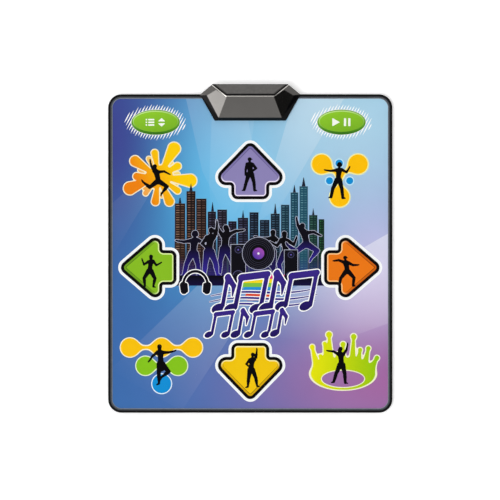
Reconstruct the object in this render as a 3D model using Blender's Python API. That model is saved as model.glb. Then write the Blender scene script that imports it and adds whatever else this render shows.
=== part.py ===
"""Dance mat controller: a soft layered mat with ten sprung step pads and a faceted control box.

Metres, +Z up. The mat lies flat on the XY plane with its centre at the origin, and +Y runs
towards the control box at the mat's rear edge.
"""

import math

import bmesh
import bpy

# Gap that touching pieces keep
FIT_GAP = 0.0003

# Mat outline
MAT_WIDTH = 0.830
MAT_LENGTH = 0.930
MAT_CORNER_RADIUS = 0.039

# Layers of the mat, from the floor up
BASE_CLOTH_THICKNESS = 0.0016
FOAM_CORE_THICKNESS = 0.0038
FILM_THICKNESS = 0.0003
SPACER_THICKNESS = 0.0020
COVER_THICKNESS = 0.0012

# Binding tape folded round the edge
TAPE_THICKNESS = 0.0008
TAPE_WIDTH = 0.013
TAPE_EDGE_RADIUS = 0.0016
TAPE_TUCK = 0.012

# Step pads
PAD_CLEARANCE = 0.0004
WINDOW_CLEARANCE = 0.0010
PAD_ROUNDING = 0.0012
CONTACT_INSET = 0.008
STEP_PAD_RISE = 0.0015
CORNER_PAD_RISE = 0.0003

# Upright arrows: rear and front. Sizes run from the shoulder line, corners as if unrounded
TALL_ARROW = {
    "tip": 0.131,
    "half_base": 0.127,
    "half_stem": 0.0553,
    "stem": 0.041,
    "tip_radius": 0.019,
    "base_radius": 0.024,
    "stem_radius": 0.0185,
    "notch_radius": 0.004,
}

# Sideways arrows: left and right
WIDE_ARROW = {
    "tip": 0.1305,
    "half_base": 0.112,
    "half_stem": 0.0505,
    "stem": 0.0415,
    "tip_radius": 0.019,
    "base_radius": 0.0213,
    "stem_radius": 0.0175,
    "notch_radius": 0.004,
}

# How far each arrow's shoulder line lies in from the mat's edges
UP_ARROW_FROM_REAR = 0.2656
DOWN_ARROW_FROM_FRONT = 0.1628
SIDE_ARROWS_FROM_SIDE = 0.1580
SIDE_ARROWS_FROM_REAR = 0.5060

# How far the other pads' centres lie in from the mat's side and from its nearer end
SELECT_IN = (0.1386, 0.0820)
START_IN = (0.1485, 0.0816)
REAR_LEFT_IN = (0.146, 0.239)
REAR_RIGHT_IN = (0.154, 0.252)
FRONT_LEFT_IN = (0.156, 0.137)
FRONT_RIGHT_IN = (0.143, 0.151)

OVAL_HALF = (0.0705, 0.0365)

# Corner pads: mean half sizes, lobes, how far the lobes swell from the mean, points per lobe
REAR_LEFT_LOBES = {"half": (0.088, 0.081), "lobes": 8, "swell": 0.006, "turn": 0.0, "points": 6}
REAR_RIGHT_LOBES = {"half": (0.072, 0.067), "lobes": 4, "swell": 0.009, "turn": 45.0, "points": 9}
FRONT_LEFT_LOBES = {"half": (0.098, 0.070), "lobes": 3, "swell": 0.012, "turn": 90.0, "points": 11}
FRONT_RIGHT_LOBES = {"half": (0.092, 0.081), "lobes": 12, "swell": 0.003, "turn": 15.0, "points": 4}

# Control box, plan sizes: half widths, and distances from the mat's rear edge
BOX_HALF_WIDTH = 0.147
BOX_REAR_HALF = 0.110
BOX_FRONT_HALF = 0.104
BOX_BEHIND_MAT = 0.029
BOX_WIDEST_BEFORE_EDGE = 0.001
BOX_OVER_MAT = 0.077

# Control box, how far its upper corners lie in from the corners of its foot
SIDE_SHOULDER_IN = (0.021, 0.003)
FRONT_SHOULDER_IN = (0.012, 0.0085)
REAR_FLANK_IN = (0.011, 0.017)
RIDGE_IN = (0.035, 0.069)
RIDGE_WIDTH = 0.004

# Control box, heights above the floor
RIDGE_HEIGHT = 0.040
SHOULDER_HEIGHT = 0.024
REAR_SHOULDER_HEIGHT = 0.030
FRONT_RIM_HEIGHT = 0.0135

# Control box, walls
BOX_EDGE_BEVEL = 0.0006
ROOF_THICKNESS = 0.0032
WALL_THICKNESS = 0.0025
FLOOR_THICKNESS = 0.0020

# Panel let into the rear slope, with a groove on three sides
PANEL_THICKNESS = 0.0012
PANEL_GROOVE = 0.0035
PANEL_SINK = 0.0002
PANEL_RIM = 0.0012
PANEL_END_GAP = 0.0005

# Box screws: how far they lie in from the corners of the box's foot
SIDE_SCREW_IN = (0.031, 0.014)
FRONT_SCREW_IN = (0.020, 0.014)
REAR_SCREW_IN = (0.030, 0.011)
SCREW_RADIUS = 0.0015
SCREW_HOLE_GAP = 0.0003
SCREW_HEAD_RADIUS = 0.0029
SCREW_HEAD_HEIGHT = 0.0018
SCREW_HEAD_GAP = 0.0004
SCREW_REACH = 0.018
RECESS_ARM = 0.0015
RECESS_HALF_SLOT = 0.0004
RECESS_DEPTH = 0.0010
HEAD_SINK = 0.0003
BOSS_RADIUS = 0.0042
LAYER_HOLE_GAP = 0.0005

# Circuit board
BOARD_HALF_WIDTH = 0.060
BOARD_FRONT = -0.041
BOARD_REAR = 0.023
BOARD_THICKNESS = 0.0016
BOARD_UNDERSIDE = 0.0145
BOARD_SCREW_INSET = 0.006
BOARD_BOSS_RADIUS = 0.003
BOARD_SCREW_RADIUS = 0.00125
BOARD_SCREW_HEAD_RADIUS = 0.0024
BOARD_SCREW_HEAD_HEIGHT = 0.0016
BOARD_SCREW_LENGTH = 0.0075

# Parts on the board
CHIP_SIZE = (0.018, 0.0075, 0.0025)
CHIP_AT = (-0.014, -0.022)
CHIP_LEGS = 14
CHIP_LEG_WIDTH = 0.0005
CHIP_LEG_REACH = 0.0016
CHIP_LEG_THICKNESS = 0.0005
CHIP_BODY_INSET = 0.0001
CRYSTAL_SIZE = (0.011, 0.0047, 0.0036)
CRYSTAL_ROUNDING = 0.0021
CRYSTAL_AT = (0.012, -0.022)
CAPACITOR_RADIUS = 0.0032
CAPACITOR_HEIGHT = 0.0080
CAPACITOR_GROOVE_AT = 0.0013
CAPACITOR_GROOVE_DEPTH = 0.0004
CAPACITOR_AT = (0.032, -0.014)

# Film tails and their connectors
TAIL_HALF_WIDTH = 0.0200
TAIL_OFFSET = 0.0340
TAIL_REACH = 0.0090
CONNECTOR_FRONT = 0.0030
CONNECTOR_DEPTH = 0.0100
CONNECTOR_WALL = 0.0018
SLOT_DEPTH = 0.0070
SLOT_GAP = 0.0003

# Lead socket
SOCKET_WIDTH = 0.0140
SOCKET_DEPTH = 0.0145
SOCKET_BORE_RADIUS = 0.0045
SOCKET_BORE_DEPTH = 0.0092
SOCKET_WALL_ABOVE = 0.0014
SOCKET_PIN_RADIUS = 0.0005
SOCKET_PIN_LENGTH = 0.0040
SOCKET_PIN_CIRCLE = 0.0029
SOCKET_PINS = 6
SOCKET_HOLE_RADIUS = 0.0050
SOCKET_TAB_HALF = 0.016
SOCKET_TAB_TOP = 0.0154

# Roundness
CORNER_STEPS = 5
PAD_EDGE_STEPS = 2
OVAL_POINTS = 40
ROUND_POINTS = 16
SMALL_ROUND_POINTS = 10

# Depth by which a cutter passes the face that it cuts
CUT_PAST = 0.002

# Levels worked out from the layers
BASE_TOP = BASE_CLOTH_THICKNESS
FOAM_BOTTOM = BASE_TOP + FIT_GAP
FOAM_TOP = FOAM_BOTTOM + FOAM_CORE_THICKNESS
LOWER_FILM_BOTTOM = FOAM_TOP + FIT_GAP
LOWER_FILM_TOP = LOWER_FILM_BOTTOM + FILM_THICKNESS
SPACER_BOTTOM = LOWER_FILM_TOP + FIT_GAP
SPACER_TOP = SPACER_BOTTOM + SPACER_THICKNESS
UPPER_FILM_BOTTOM = SPACER_TOP + FIT_GAP
UPPER_FILM_TOP = UPPER_FILM_BOTTOM + FILM_THICKNESS
COVER_BOTTOM = UPPER_FILM_TOP + FIT_GAP
COVER_TOP = COVER_BOTTOM + COVER_THICKNESS
TAPE_FLANGE_BOTTOM = COVER_TOP + FIT_GAP
TAPE_TOP = TAPE_FLANGE_BOTTOM + TAPE_THICKNESS

# Levels and lines of the control box
REAR_EDGE = MAT_LENGTH / 2
LAYER_INSET = TAPE_THICKNESS + FIT_GAP
BOX_RIM = COVER_TOP + FIT_GAP
BOX_REAR = REAR_EDGE + BOX_BEHIND_MAT
BOX_FRONT = REAR_EDGE - BOX_OVER_MAT
BOX_WIDEST = REAR_EDGE - BOX_WIDEST_BEFORE_EDGE
RIDGE_HALF = BOX_FRONT_HALF - RIDGE_IN[0]
RIDGE_FRONT = BOX_FRONT + RIDGE_IN[1]
RIDGE_REAR = RIDGE_FRONT + RIDGE_WIDTH
BOX_CORNERS = [
    (-BOX_FRONT_HALF, BOX_FRONT),
    (BOX_FRONT_HALF, BOX_FRONT),
    (BOX_HALF_WIDTH, BOX_WIDEST),
    (BOX_REAR_HALF, BOX_REAR),
    (-BOX_REAR_HALF, BOX_REAR),
    (-BOX_HALF_WIDTH, BOX_WIDEST),
]
TAPE_END = BOX_HALF_WIDTH - TAPE_TUCK - TAPE_THICKNESS
NOTCH_FRONT = REAR_EDGE - TAPE_WIDTH - 2 * FIT_GAP
NOTCH_REAR = REAR_EDGE + 2 * FIT_GAP
BOARD_TOP = BOARD_UNDERSIDE + BOARD_THICKNESS
UNDER_BOARD = BOARD_UNDERSIDE - FIT_GAP
ON_BOARD = BOARD_TOP + FIT_GAP
SOCKET_BOTTOM = FLOOR_THICKNESS + FIT_GAP
SOCKET_CENTRE = UNDER_BOARD - SOCKET_WALL_ABOVE - SOCKET_BORE_RADIUS
SOCKET_MOUTH = BOX_REAR - WALL_THICKNESS - FIT_GAP


def clear_scene():
    for obj in list(bpy.data.objects):
        bpy.data.objects.remove(obj, do_unlink=True)


def make_finish(name, colour, roughness, metallic=0.0):
    """A plain Principled material. Colour is linear RGB."""
    finish = bpy.data.materials.new(name)
    finish.use_nodes = True
    shader = finish.node_tree.nodes["Principled BSDF"]
    shader.inputs["Base Color"].default_value = (*colour, 1.0)
    shader.inputs["Roughness"].default_value = roughness
    shader.inputs["Metallic"].default_value = metallic
    return finish


def add_object(name, shape, finish, smooth=False):
    """Turns a bmesh into an object of the scene."""
    bmesh.ops.recalc_face_normals(shape, faces=shape.faces)
    mesh = bpy.data.meshes.new(name)
    shape.to_mesh(mesh)
    shape.free()
    if finish:
        mesh.materials.append(finish)
    if smooth:
        mesh.shade_smooth()
        mesh.set_sharp_from_angle(angle=math.radians(35))
    obj = bpy.data.objects.new(name, mesh)
    bpy.context.scene.collection.objects.link(obj)
    return obj


def loft(shape, rows):
    """Skins closed rows that have the same number of points, and caps the first and the last."""
    rings = [[shape.verts.new(point) for point in row] for row in rows]
    for lower, upper in zip(rings, rings[1:]):
        for index, corner in enumerate(lower):
            following = (index + 1) % len(lower)
            shape.faces.new((corner, lower[following], upper[following], upper[index]))
    shape.faces.new(rings[0])
    shape.faces.new(rings[-1])


def at_level(outline, level):
    return [(x, y, level) for x, y in outline]


def add_prism(shape, outline, bottom, top):
    loft(shape, [at_level(outline, bottom), at_level(outline, top)])


def add_block(shape, low, high):
    outline = [(low[0], low[1]), (high[0], low[1]), (high[0], high[1]), (low[0], high[1])]
    add_prism(shape, outline, low[2], high[2])


def rectangle(half_width, half_length):
    """Corners of a centred rectangle, anticlockwise from the front left."""
    return [
        (-half_width, -half_length),
        (half_width, -half_length),
        (half_width, half_length),
        (-half_width, half_length),
    ]


def circle(centre, radius, points):
    turn = 2 * math.pi / points
    return [
        (centre[0] + radius * math.cos(turn * step), centre[1] + radius * math.sin(turn * step))
        for step in range(points)
    ]


def ellipse(half_sizes, grow=0.0):
    turn = 2 * math.pi / OVAL_POINTS
    return [
        ((half_sizes[0] + grow) * math.cos(turn * step), (half_sizes[1] + grow) * math.sin(turn * step))
        for step in range(OVAL_POINTS)
    ]


def lobed(size, grow=0.0):
    """An oval whose edge swells and sinks in even lobes."""
    count = size["lobes"] * size["points"]
    first = math.radians(size["turn"])
    outline = []
    for step in range(count):
        angle = 2 * math.pi * step / count
        swell = size["swell"] * math.cos(size["lobes"] * (angle - first))
        x = (size["half"][0] + swell) * math.cos(angle)
        y = (size["half"][1] + swell) * math.sin(angle)
        outline.append((x, y))
    return grown_polygon(outline, grow)


def outward_normals(corners):
    """The outward unit normal of the edge that leaves each corner of an anticlockwise outline."""
    normals = []
    for (x, y), (next_x, next_y) in zip(corners, corners[1:] + corners[:1]):
        length = math.hypot(next_x - x, next_y - y)
        normals.append(((next_y - y) / length, (x - next_x) / length))
    return normals


def grown_polygon(corners, grow):
    """An anticlockwise outline with each edge moved outwards by grow."""
    normals = outward_normals(corners)
    moved = []
    for (x, y), before, after in zip(corners, normals[-1:] + normals[:-1], normals):
        along = 1 + before[0] * after[0] + before[1] * after[1]
        moved.append((x + grow * (before[0] + after[0]) / along, y + grow * (before[1] + after[1]) / along))
    return moved


def rounded_polygon(corners, radii, grow=0.0):
    """An anticlockwise outline with arcs at its corners, each edge moved outwards by grow."""
    corners = grown_polygon(corners, grow)
    normals = outward_normals(corners)
    outline = []
    for corner, radius, before, after in zip(corners, radii, normals[-1:] + normals[:-1], normals):
        across = before[0] * after[1] - before[1] * after[0]
        turn = math.atan2(across, before[0] * after[0] + before[1] * after[1])
        side = 1 if turn > 0 else -1
        reach = (radius + side * grow) * side
        along = reach * math.tan(turn / 2)
        start = (corner[0] + before[1] * along, corner[1] - before[0] * along)
        centre = (start[0] - before[0] * reach, start[1] - before[1] * reach)
        first = math.atan2(before[1], before[0])
        for step in range(CORNER_STEPS + 1):
            angle = first + turn * step / CORNER_STEPS
            outline.append((centre[0] + reach * math.cos(angle), centre[1] + reach * math.sin(angle)))
    return outline


def placed(outline, at, quarter_turns=0):
    """An outline turned anticlockwise by quarter turns, then moved."""
    turned = []
    for x, y in outline:
        for _ in range(quarter_turns):
            x, y = -y, x
        turned.append((x + at[0], y + at[1]))
    return turned


def arrow(size, grow=0.0):
    """An arrow that points to +Y, with its shoulder line on the X axis."""
    corners = [
        (-size["half_stem"], -size["stem"]),
        (size["half_stem"], -size["stem"]),
        (size["half_stem"], 0.0),
        (size["half_base"], 0.0),
        (0.0, size["tip"]),
        (-size["half_base"], 0.0),
        (-size["half_stem"], 0.0),
    ]
    radii = [
        size["stem_radius"],
        size["stem_radius"],
        size["notch_radius"],
        size["base_radius"],
        size["tip_radius"],
        size["base_radius"],
        size["notch_radius"],
    ]
    return rounded_polygon(corners, radii, grow)


def pads():
    """Each pad by name: its outline, its place, its quarter turns and its rise above the cover."""
    side = MAT_WIDTH / 2
    rear_arrow = (0.0, REAR_EDGE - UP_ARROW_FROM_REAR)
    front_arrow = (0.0, DOWN_ARROW_FROM_FRONT - REAR_EDGE)
    arrow_x = side - SIDE_ARROWS_FROM_SIDE
    arrow_y = REAR_EDGE - SIDE_ARROWS_FROM_REAR
    select = (SELECT_IN[0] - side, REAR_EDGE - SELECT_IN[1])
    start = (side - START_IN[0], REAR_EDGE - START_IN[1])
    rear_left = (REAR_LEFT_IN[0] - side, REAR_EDGE - REAR_LEFT_IN[1])
    rear_right = (side - REAR_RIGHT_IN[0], REAR_EDGE - REAR_RIGHT_IN[1])
    front_left = (FRONT_LEFT_IN[0] - side, FRONT_LEFT_IN[1] - REAR_EDGE)
    front_right = (side - FRONT_RIGHT_IN[0], FRONT_RIGHT_IN[1] - REAR_EDGE)
    return {
        "up_arrow": (arrow, TALL_ARROW, rear_arrow, 0, STEP_PAD_RISE),
        "down_arrow": (arrow, TALL_ARROW, front_arrow, 2, STEP_PAD_RISE),
        "left_arrow": (arrow, WIDE_ARROW, (-arrow_x, arrow_y), 1, STEP_PAD_RISE),
        "right_arrow": (arrow, WIDE_ARROW, (arrow_x, arrow_y), 3, STEP_PAD_RISE),
        "select": (ellipse, OVAL_HALF, select, 0, STEP_PAD_RISE),
        "start": (ellipse, OVAL_HALF, start, 0, STEP_PAD_RISE),
        "rear_left_corner": (lobed, REAR_LEFT_LOBES, rear_left, 0, CORNER_PAD_RISE),
        "rear_right_corner": (lobed, REAR_RIGHT_LOBES, rear_right, 0, CORNER_PAD_RISE),
        "front_left_corner": (lobed, FRONT_LEFT_LOBES, front_left, 0, CORNER_PAD_RISE),
        "front_right_corner": (lobed, FRONT_RIGHT_LOBES, front_right, 0, CORNER_PAD_RISE),
    }


# Pads' colours, linear RGB
PAD_COLOURS = {
    "up_arrow": (0.27, 0.23, 0.50),
    "down_arrow": (0.90, 0.55, 0.01),
    "left_arrow": (0.26, 0.53, 0.03),
    "right_arrow": (0.84, 0.18, 0.01),
    "select": (0.25, 0.53, 0.03),
    "start": (0.25, 0.53, 0.03),
    "rear_left_corner": (0.90, 0.40, 0.01),
    "rear_right_corner": (0.93, 0.62, 0.02),
    "front_left_corner": (0.24, 0.53, 0.01),
    "front_right_corner": (0.40, 0.25, 0.45),
}


def cut(target, cutter, operation="DIFFERENCE"):
    """Cuts target with cutter, or joins them, and hides the cutter."""
    cutter.hide_render = True
    cutter.display_type = "WIRE"
    modifier = target.modifiers.new(cutter.name, "BOOLEAN")
    modifier.operation = operation
    modifier.object = cutter
    modifier.solver = "EXACT"


def mat_outline(inset):
    """The mat's rounded outline moved inwards, anticlockwise from its rear left corner."""
    corners = rectangle(MAT_WIDTH / 2, REAR_EDGE)
    return rounded_polygon(corners[-1:] + corners[:-1], [MAT_CORNER_RADIUS] * 4, -inset)


def layer_outline(tail_centre=None):
    """A mat layer's outline, with a tail out of its rear edge where tail_centre is given."""
    outline = mat_outline(LAYER_INSET)
    if tail_centre is None:
        return outline
    right = tail_centre + TAIL_HALF_WIDTH
    left = tail_centre - TAIL_HALF_WIDTH
    edge = REAR_EDGE - LAYER_INSET
    end = REAR_EDGE + TAIL_REACH
    return outline + [(right, edge), (right, end), (left, end), (left, edge)]


def screw_places():
    """Every box screw by name, as its centre and whether it passes through the mat."""
    places = {}
    for word, x, y, through_mat in (
        ("side", BOX_HALF_WIDTH - SIDE_SCREW_IN[0], BOX_WIDEST - SIDE_SCREW_IN[1], True),
        ("front", BOX_FRONT_HALF - FRONT_SCREW_IN[0], BOX_FRONT + FRONT_SCREW_IN[1], True),
        ("rear", BOX_REAR_HALF - REAR_SCREW_IN[0], BOX_REAR - REAR_SCREW_IN[1], False),
    ):
        places[f"box_screw_{word}_left"] = ((-x, y), through_mat)
        places[f"box_screw_{word}_right"] = ((x, y), through_mat)
    return places


def board_screw_places():
    x = BOARD_HALF_WIDTH - BOARD_SCREW_INSET
    front = REAR_EDGE + BOARD_FRONT + BOARD_SCREW_INSET
    rear = REAR_EDGE + BOARD_REAR - BOARD_SCREW_INSET
    return {
        "board_screw_front_left": (-x, front),
        "board_screw_front_right": (x, front),
        "board_screw_rear_left": (-x, rear),
        "board_screw_rear_right": (x, rear),
    }


def add_mat_screw_holes(shape, radius, bottom, top):
    for centre, through_mat in screw_places().values():
        if through_mat:
            add_prism(shape, circle(centre, radius, SMALL_ROUND_POINTS), bottom, top)


def pad_openings(name, clearance, bottom, top):
    """A cutter with every pad's outline, and the box screws' holes."""
    shape = bmesh.new()
    for outline, size, at, turns, _ in pads().values():
        add_prism(shape, placed(outline(size, clearance), at, turns), bottom, top)
    add_mat_screw_holes(shape, SCREW_RADIUS + LAYER_HOLE_GAP, bottom, top)
    return add_object(name, shape, None)


def cloth_rim_cutter():
    """The space that the binding tape's lower fold takes out of the base cloth."""
    top = TAPE_THICKNESS + FIT_GAP
    rim = bmesh.new()
    add_prism(rim, rectangle(MAT_WIDTH / 2 + CUT_PAST, REAR_EDGE + CUT_PAST), -CUT_PAST, top)
    frame = add_object("cloth_rim_cutter", rim, None)
    middle = bmesh.new()
    add_prism(middle, mat_outline(TAPE_WIDTH + FIT_GAP), -2 * CUT_PAST, top + CUT_PAST)
    cut(frame, add_object("cloth_middle_cutter", middle, None))
    return frame


def make_base_cloth():
    """Non-slip cloth. Its edge is thinner where the tape folds under it, and a bay clears the box."""
    shape = bmesh.new()
    add_prism(shape, layer_outline(), 0.0, BASE_TOP)
    cloth = add_object("base_cloth", shape, make_finish("base_cloth", (0.012, 0.012, 0.014), 0.9))
    cut(cloth, cloth_rim_cutter())
    bay = bmesh.new()
    add_prism(bay, grown_polygon(BOX_CORNERS, 2 * FIT_GAP), -CUT_PAST, BASE_TOP + CUT_PAST)
    cut(cloth, add_object("cloth_bay_cutter", bay, None))


def make_foam_core():
    """Foam slab, rebated over the box's floor and bored for the screw bosses."""
    shape = bmesh.new()
    add_prism(shape, layer_outline(), FOAM_BOTTOM, FOAM_TOP)
    foam = add_object("foam_core", shape, make_finish("foam", (0.55, 0.56, 0.58), 0.95))
    rebate = bmesh.new()
    rebate_top = FLOOR_THICKNESS + FIT_GAP
    add_prism(rebate, grown_polygon(BOX_CORNERS, 2 * FIT_GAP), FOAM_BOTTOM - CUT_PAST, rebate_top)
    cut(foam, add_object("foam_rebate_cutter", rebate, None))
    holes = bmesh.new()
    add_mat_screw_holes(holes, BOSS_RADIUS + LAYER_HOLE_GAP, FOAM_BOTTOM - CUT_PAST, FOAM_TOP + CUT_PAST)
    cut(foam, add_object("foam_hole_cutter", holes, None))


def make_film(name, bottom, tail_centre, opened):
    finish = make_finish(name, (0.42, 0.40, 0.36), 0.45)
    shape = bmesh.new()
    add_prism(shape, layer_outline(tail_centre), bottom, bottom + FILM_THICKNESS)
    film = add_object(name, shape, finish)
    low = bottom - CUT_PAST
    high = bottom + FILM_THICKNESS + CUT_PAST
    if opened:
        cut(film, pad_openings(f"{name}_cutter", WINDOW_CLEARANCE, low, high))
        return
    holes = bmesh.new()
    add_mat_screw_holes(holes, SCREW_RADIUS + LAYER_HOLE_GAP, low, high)
    cut(film, add_object(f"{name}_cutter", holes, None))


def make_opened_layer(name, bottom, top, clearance, finish):
    shape = bmesh.new()
    add_prism(shape, layer_outline(), bottom, top)
    layer = add_object(name, shape, finish)
    cut(layer, pad_openings(f"{name}_cutter", clearance, bottom - CUT_PAST, top + CUT_PAST))


def tape_profile():
    """The folded tape's section, as distance in from the mat's edge and height."""
    outline = []
    for centre_height, first in ((TAPE_EDGE_RADIUS, 270.0), (TAPE_TOP - TAPE_EDGE_RADIUS, 180.0)):
        for step in range(CORNER_STEPS + 1):
            angle = math.radians(first - 90.0 * step / CORNER_STEPS)
            outline.append(
                (
                    TAPE_EDGE_RADIUS + TAPE_EDGE_RADIUS * math.cos(angle),
                    centre_height + TAPE_EDGE_RADIUS * math.sin(angle),
                )
            )
    return [(TAPE_WIDTH, 0.0)] + outline + [
        (TAPE_WIDTH, TAPE_TOP),
        (TAPE_WIDTH, TAPE_FLANGE_BOTTOM),
        (TAPE_THICKNESS, TAPE_FLANGE_BOTTOM),
        (TAPE_THICKNESS, TAPE_THICKNESS),
        (TAPE_WIDTH, TAPE_THICKNESS),
    ]


def tape_route(inset):
    """Points round the mat from the box's left side to its right side, inset from the mat's edge."""
    rear = REAR_EDGE - inset
    return [(-TAPE_END, rear)] + mat_outline(inset) + [(TAPE_END, rear)]


def make_edge_binding():
    """Tape folded over the mat's edge, with both ends tucked under the control box."""
    profile = tape_profile()
    routes = [tape_route(inset) for inset, _ in profile]
    rows = []
    for index in range(len(routes[0])):
        rows.append([(*route[index], height) for route, (_, height) in zip(routes, profile)])
    shape = bmesh.new()
    loft(shape, rows)
    add_object("edge_binding", shape, make_finish("edge_binding", (0.030, 0.040, 0.055), 0.6), smooth=True)


def make_pad(name, outline, size, at, turns, rise):
    """A printed pad and the contact patch under it, both on an empty on the pad's axis of travel."""
    travel = bpy.data.objects.new(f"{name}_travel", None)
    travel.location = (at[0], at[1], 0.0)
    bpy.context.scene.collection.objects.link(travel)
    top = COVER_TOP + rise
    rounding = min(PAD_ROUNDING, rise)
    rows = [at_level(placed(outline(size), (0.0, 0.0), turns), COVER_BOTTOM)]
    for step in range(PAD_EDGE_STEPS + 1):
        angle = math.pi / 2 * step / PAD_EDGE_STEPS
        shrunk = outline(size, rounding * (math.cos(angle) - 1))
        level = top + rounding * (math.sin(angle) - 1)
        rows.append(at_level(placed(shrunk, (0.0, 0.0), turns), level))
    shape = bmesh.new()
    loft(shape, rows)
    pad = add_object(f"{name}_pad", shape, make_finish(f"{name}_print", PAD_COLOURS[name], 0.4), smooth=True)
    pad.parent = travel
    patch_shape = bmesh.new()
    patch_outline = placed(outline(size, -CONTACT_INSET), (0.0, 0.0), turns)
    add_prism(patch_shape, patch_outline, UPPER_FILM_BOTTOM, UPPER_FILM_TOP)
    patch = add_object(f"{name}_contact", patch_shape, make_finish(f"{name}_carbon", (0.02, 0.02, 0.02), 0.7))
    patch.parent = travel


def plane_height(a, b, c, at):
    """The height at a plan point of the plane through three points."""
    ux, uy, uz = (b[i] - a[i] for i in range(3))
    vx, vy, vz = (c[i] - a[i] for i in range(3))
    nx, ny, nz = uy * vz - uz * vy, uz * vx - ux * vz, ux * vy - uy * vx
    return a[2] - (nx * (at[0] - a[0]) + ny * (at[1] - a[1])) / nz


def box_hull_points():
    """Corners of the faceted top shell's right half, mirrored by the caller."""
    side = (BOX_HALF_WIDTH - SIDE_SHOULDER_IN[0], BOX_WIDEST - SIDE_SHOULDER_IN[1], SHOULDER_HEIGHT)
    front = (BOX_FRONT_HALF - FRONT_SHOULDER_IN[0], BOX_FRONT + FRONT_SHOULDER_IN[1], SHOULDER_HEIGHT)
    ridge_front = (RIDGE_HALF, RIDGE_FRONT, RIDGE_HEIGHT)
    ridge_rear = (RIDGE_HALF, RIDGE_REAR, RIDGE_HEIGHT)
    rear = (BOX_REAR_HALF, BOX_REAR, REAR_SHOULDER_HEIGHT)
    flank_at = (BOX_REAR_HALF - REAR_FLANK_IN[0], BOX_REAR - REAR_FLANK_IN[1])
    flank = (*flank_at, plane_height(side, front, ridge_front, flank_at))
    widest_at = (BOX_HALF_WIDTH, BOX_WIDEST)
    widest = (*widest_at, plane_height(side, flank, rear, widest_at))
    front_rim = (BOX_FRONT_HALF, BOX_FRONT, FRONT_RIM_HEIGHT)
    foot = [(BOX_FRONT_HALF, BOX_FRONT, BOX_RIM), (*widest_at, BOX_RIM), (BOX_REAR_HALF, BOX_REAR, BOX_RIM)]
    return [side, front, ridge_front, ridge_rear, rear, flank, widest, front_rim] + foot


def add_box_hull(shape, drop=0.0):
    """The faceted outer form of the box, lowered by drop."""
    for x, y, z in box_hull_points():
        shape.verts.new((x, y, z - drop))
        shape.verts.new((-x, y, z - drop))
    bmesh.ops.convex_hull(shape, input=shape.verts)
    bmesh.ops.dissolve_limit(shape, angle_limit=math.radians(0.5), verts=shape.verts, edges=shape.edges)


def panel_level(y):
    """The height of the rear slope at a distance along Y."""
    drop = RIDGE_HEIGHT - REAR_SHOULDER_HEIGHT
    return RIDGE_HEIGHT - drop * (y - RIDGE_REAR) / (BOX_REAR - RIDGE_REAR)


def panel_outline(inset_sides, inset_front, inset_rear):
    """The rear slope's plan outline, with its sides, front and rear edges moved in."""
    lean = (BOX_REAR_HALF - RIDGE_HALF) / (BOX_REAR - RIDGE_REAR)
    across = inset_sides * math.hypot(1.0, lean)
    front = RIDGE_REAR + inset_front
    rear = BOX_REAR - inset_rear
    front_half = RIDGE_HALF + lean * (front - RIDGE_REAR) - across
    rear_half = RIDGE_HALF + lean * (rear - RIDGE_REAR) - across
    return [(-front_half, front), (front_half, front), (rear_half, rear), (-rear_half, rear)]


def add_sloped_slab(shape, outline, below, above):
    """A slab that follows the rear slope, between two heights measured from it."""
    loft(shape, [[(x, y, panel_level(y) + rise) for x, y in outline] for rise in (below, above)])


def make_top_shell(finish):
    shape = bmesh.new()
    add_box_hull(shape)
    shell = add_object("box_top_shell", shape, finish)
    bevel = shell.modifiers.new("edge_bevel", "BEVEL")
    bevel.width = BOX_EDGE_BEVEL
    bevel.segments = 1
    bevel.limit_method = "ANGLE"
    bevel.angle_limit = math.radians(10)
    hollow_shape = bmesh.new()
    add_box_hull(hollow_shape, ROOF_THICKNESS)
    hollow = add_object("box_hollow_cutter", hollow_shape, None)
    walls = bmesh.new()
    inner = grown_polygon(BOX_CORNERS, -WALL_THICKNESS)
    add_prism(walls, inner, 0.0, RIDGE_HEIGHT + CUT_PAST)
    cut(hollow, add_object("box_walls_cutter", walls, None), "INTERSECT")
    cut(shell, hollow)
    cut(shell, roof_bosses(), "UNION")
    cut(shell, screw_bores())
    pocket = bmesh.new()
    depth = PANEL_SINK + PANEL_THICKNESS + FIT_GAP
    add_sloped_slab(pocket, panel_outline(PANEL_RIM, PANEL_RIM, PANEL_RIM), -depth, CUT_PAST)
    cut(shell, add_object("panel_pocket_cutter", pocket, None))
    cut(shell, shell_notches())


def roof_bosses():
    """Screw bosses that run up into the roof, trimmed inside its thickness."""
    shape = bmesh.new()
    for centre, _ in screw_places().values():
        add_prism(shape, circle(centre, BOSS_RADIUS, ROUND_POINTS), BOX_RIM, RIDGE_HEIGHT)
    for centre in board_screw_places().values():
        add_prism(shape, circle(centre, BOARD_BOSS_RADIUS, ROUND_POINTS), ON_BOARD, RIDGE_HEIGHT)
    bosses = add_object("roof_bosses", shape, None)
    trim = bmesh.new()
    add_box_hull(trim, ROOF_THICKNESS / 2)
    block = add_object("boss_trim", trim, None)
    cut(bosses, block, "INTERSECT")
    return bosses


def screw_bores():
    shape = bmesh.new()
    for centre, through_mat in screw_places().values():
        outline = circle(centre, SCREW_RADIUS + SCREW_HOLE_GAP, SMALL_ROUND_POINTS)
        add_prism(shape, outline, BOX_RIM - CUT_PAST, screw_tip() + FIT_GAP)
    for centre in board_screw_places().values():
        outline = circle(centre, BOARD_SCREW_RADIUS + SCREW_HOLE_GAP, SMALL_ROUND_POINTS)
        top = UNDER_BOARD + BOARD_SCREW_LENGTH + FIT_GAP
        add_prism(shape, outline, ON_BOARD - CUT_PAST, top)
    return add_object("screw_bore_cutter", shape, None)


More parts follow.
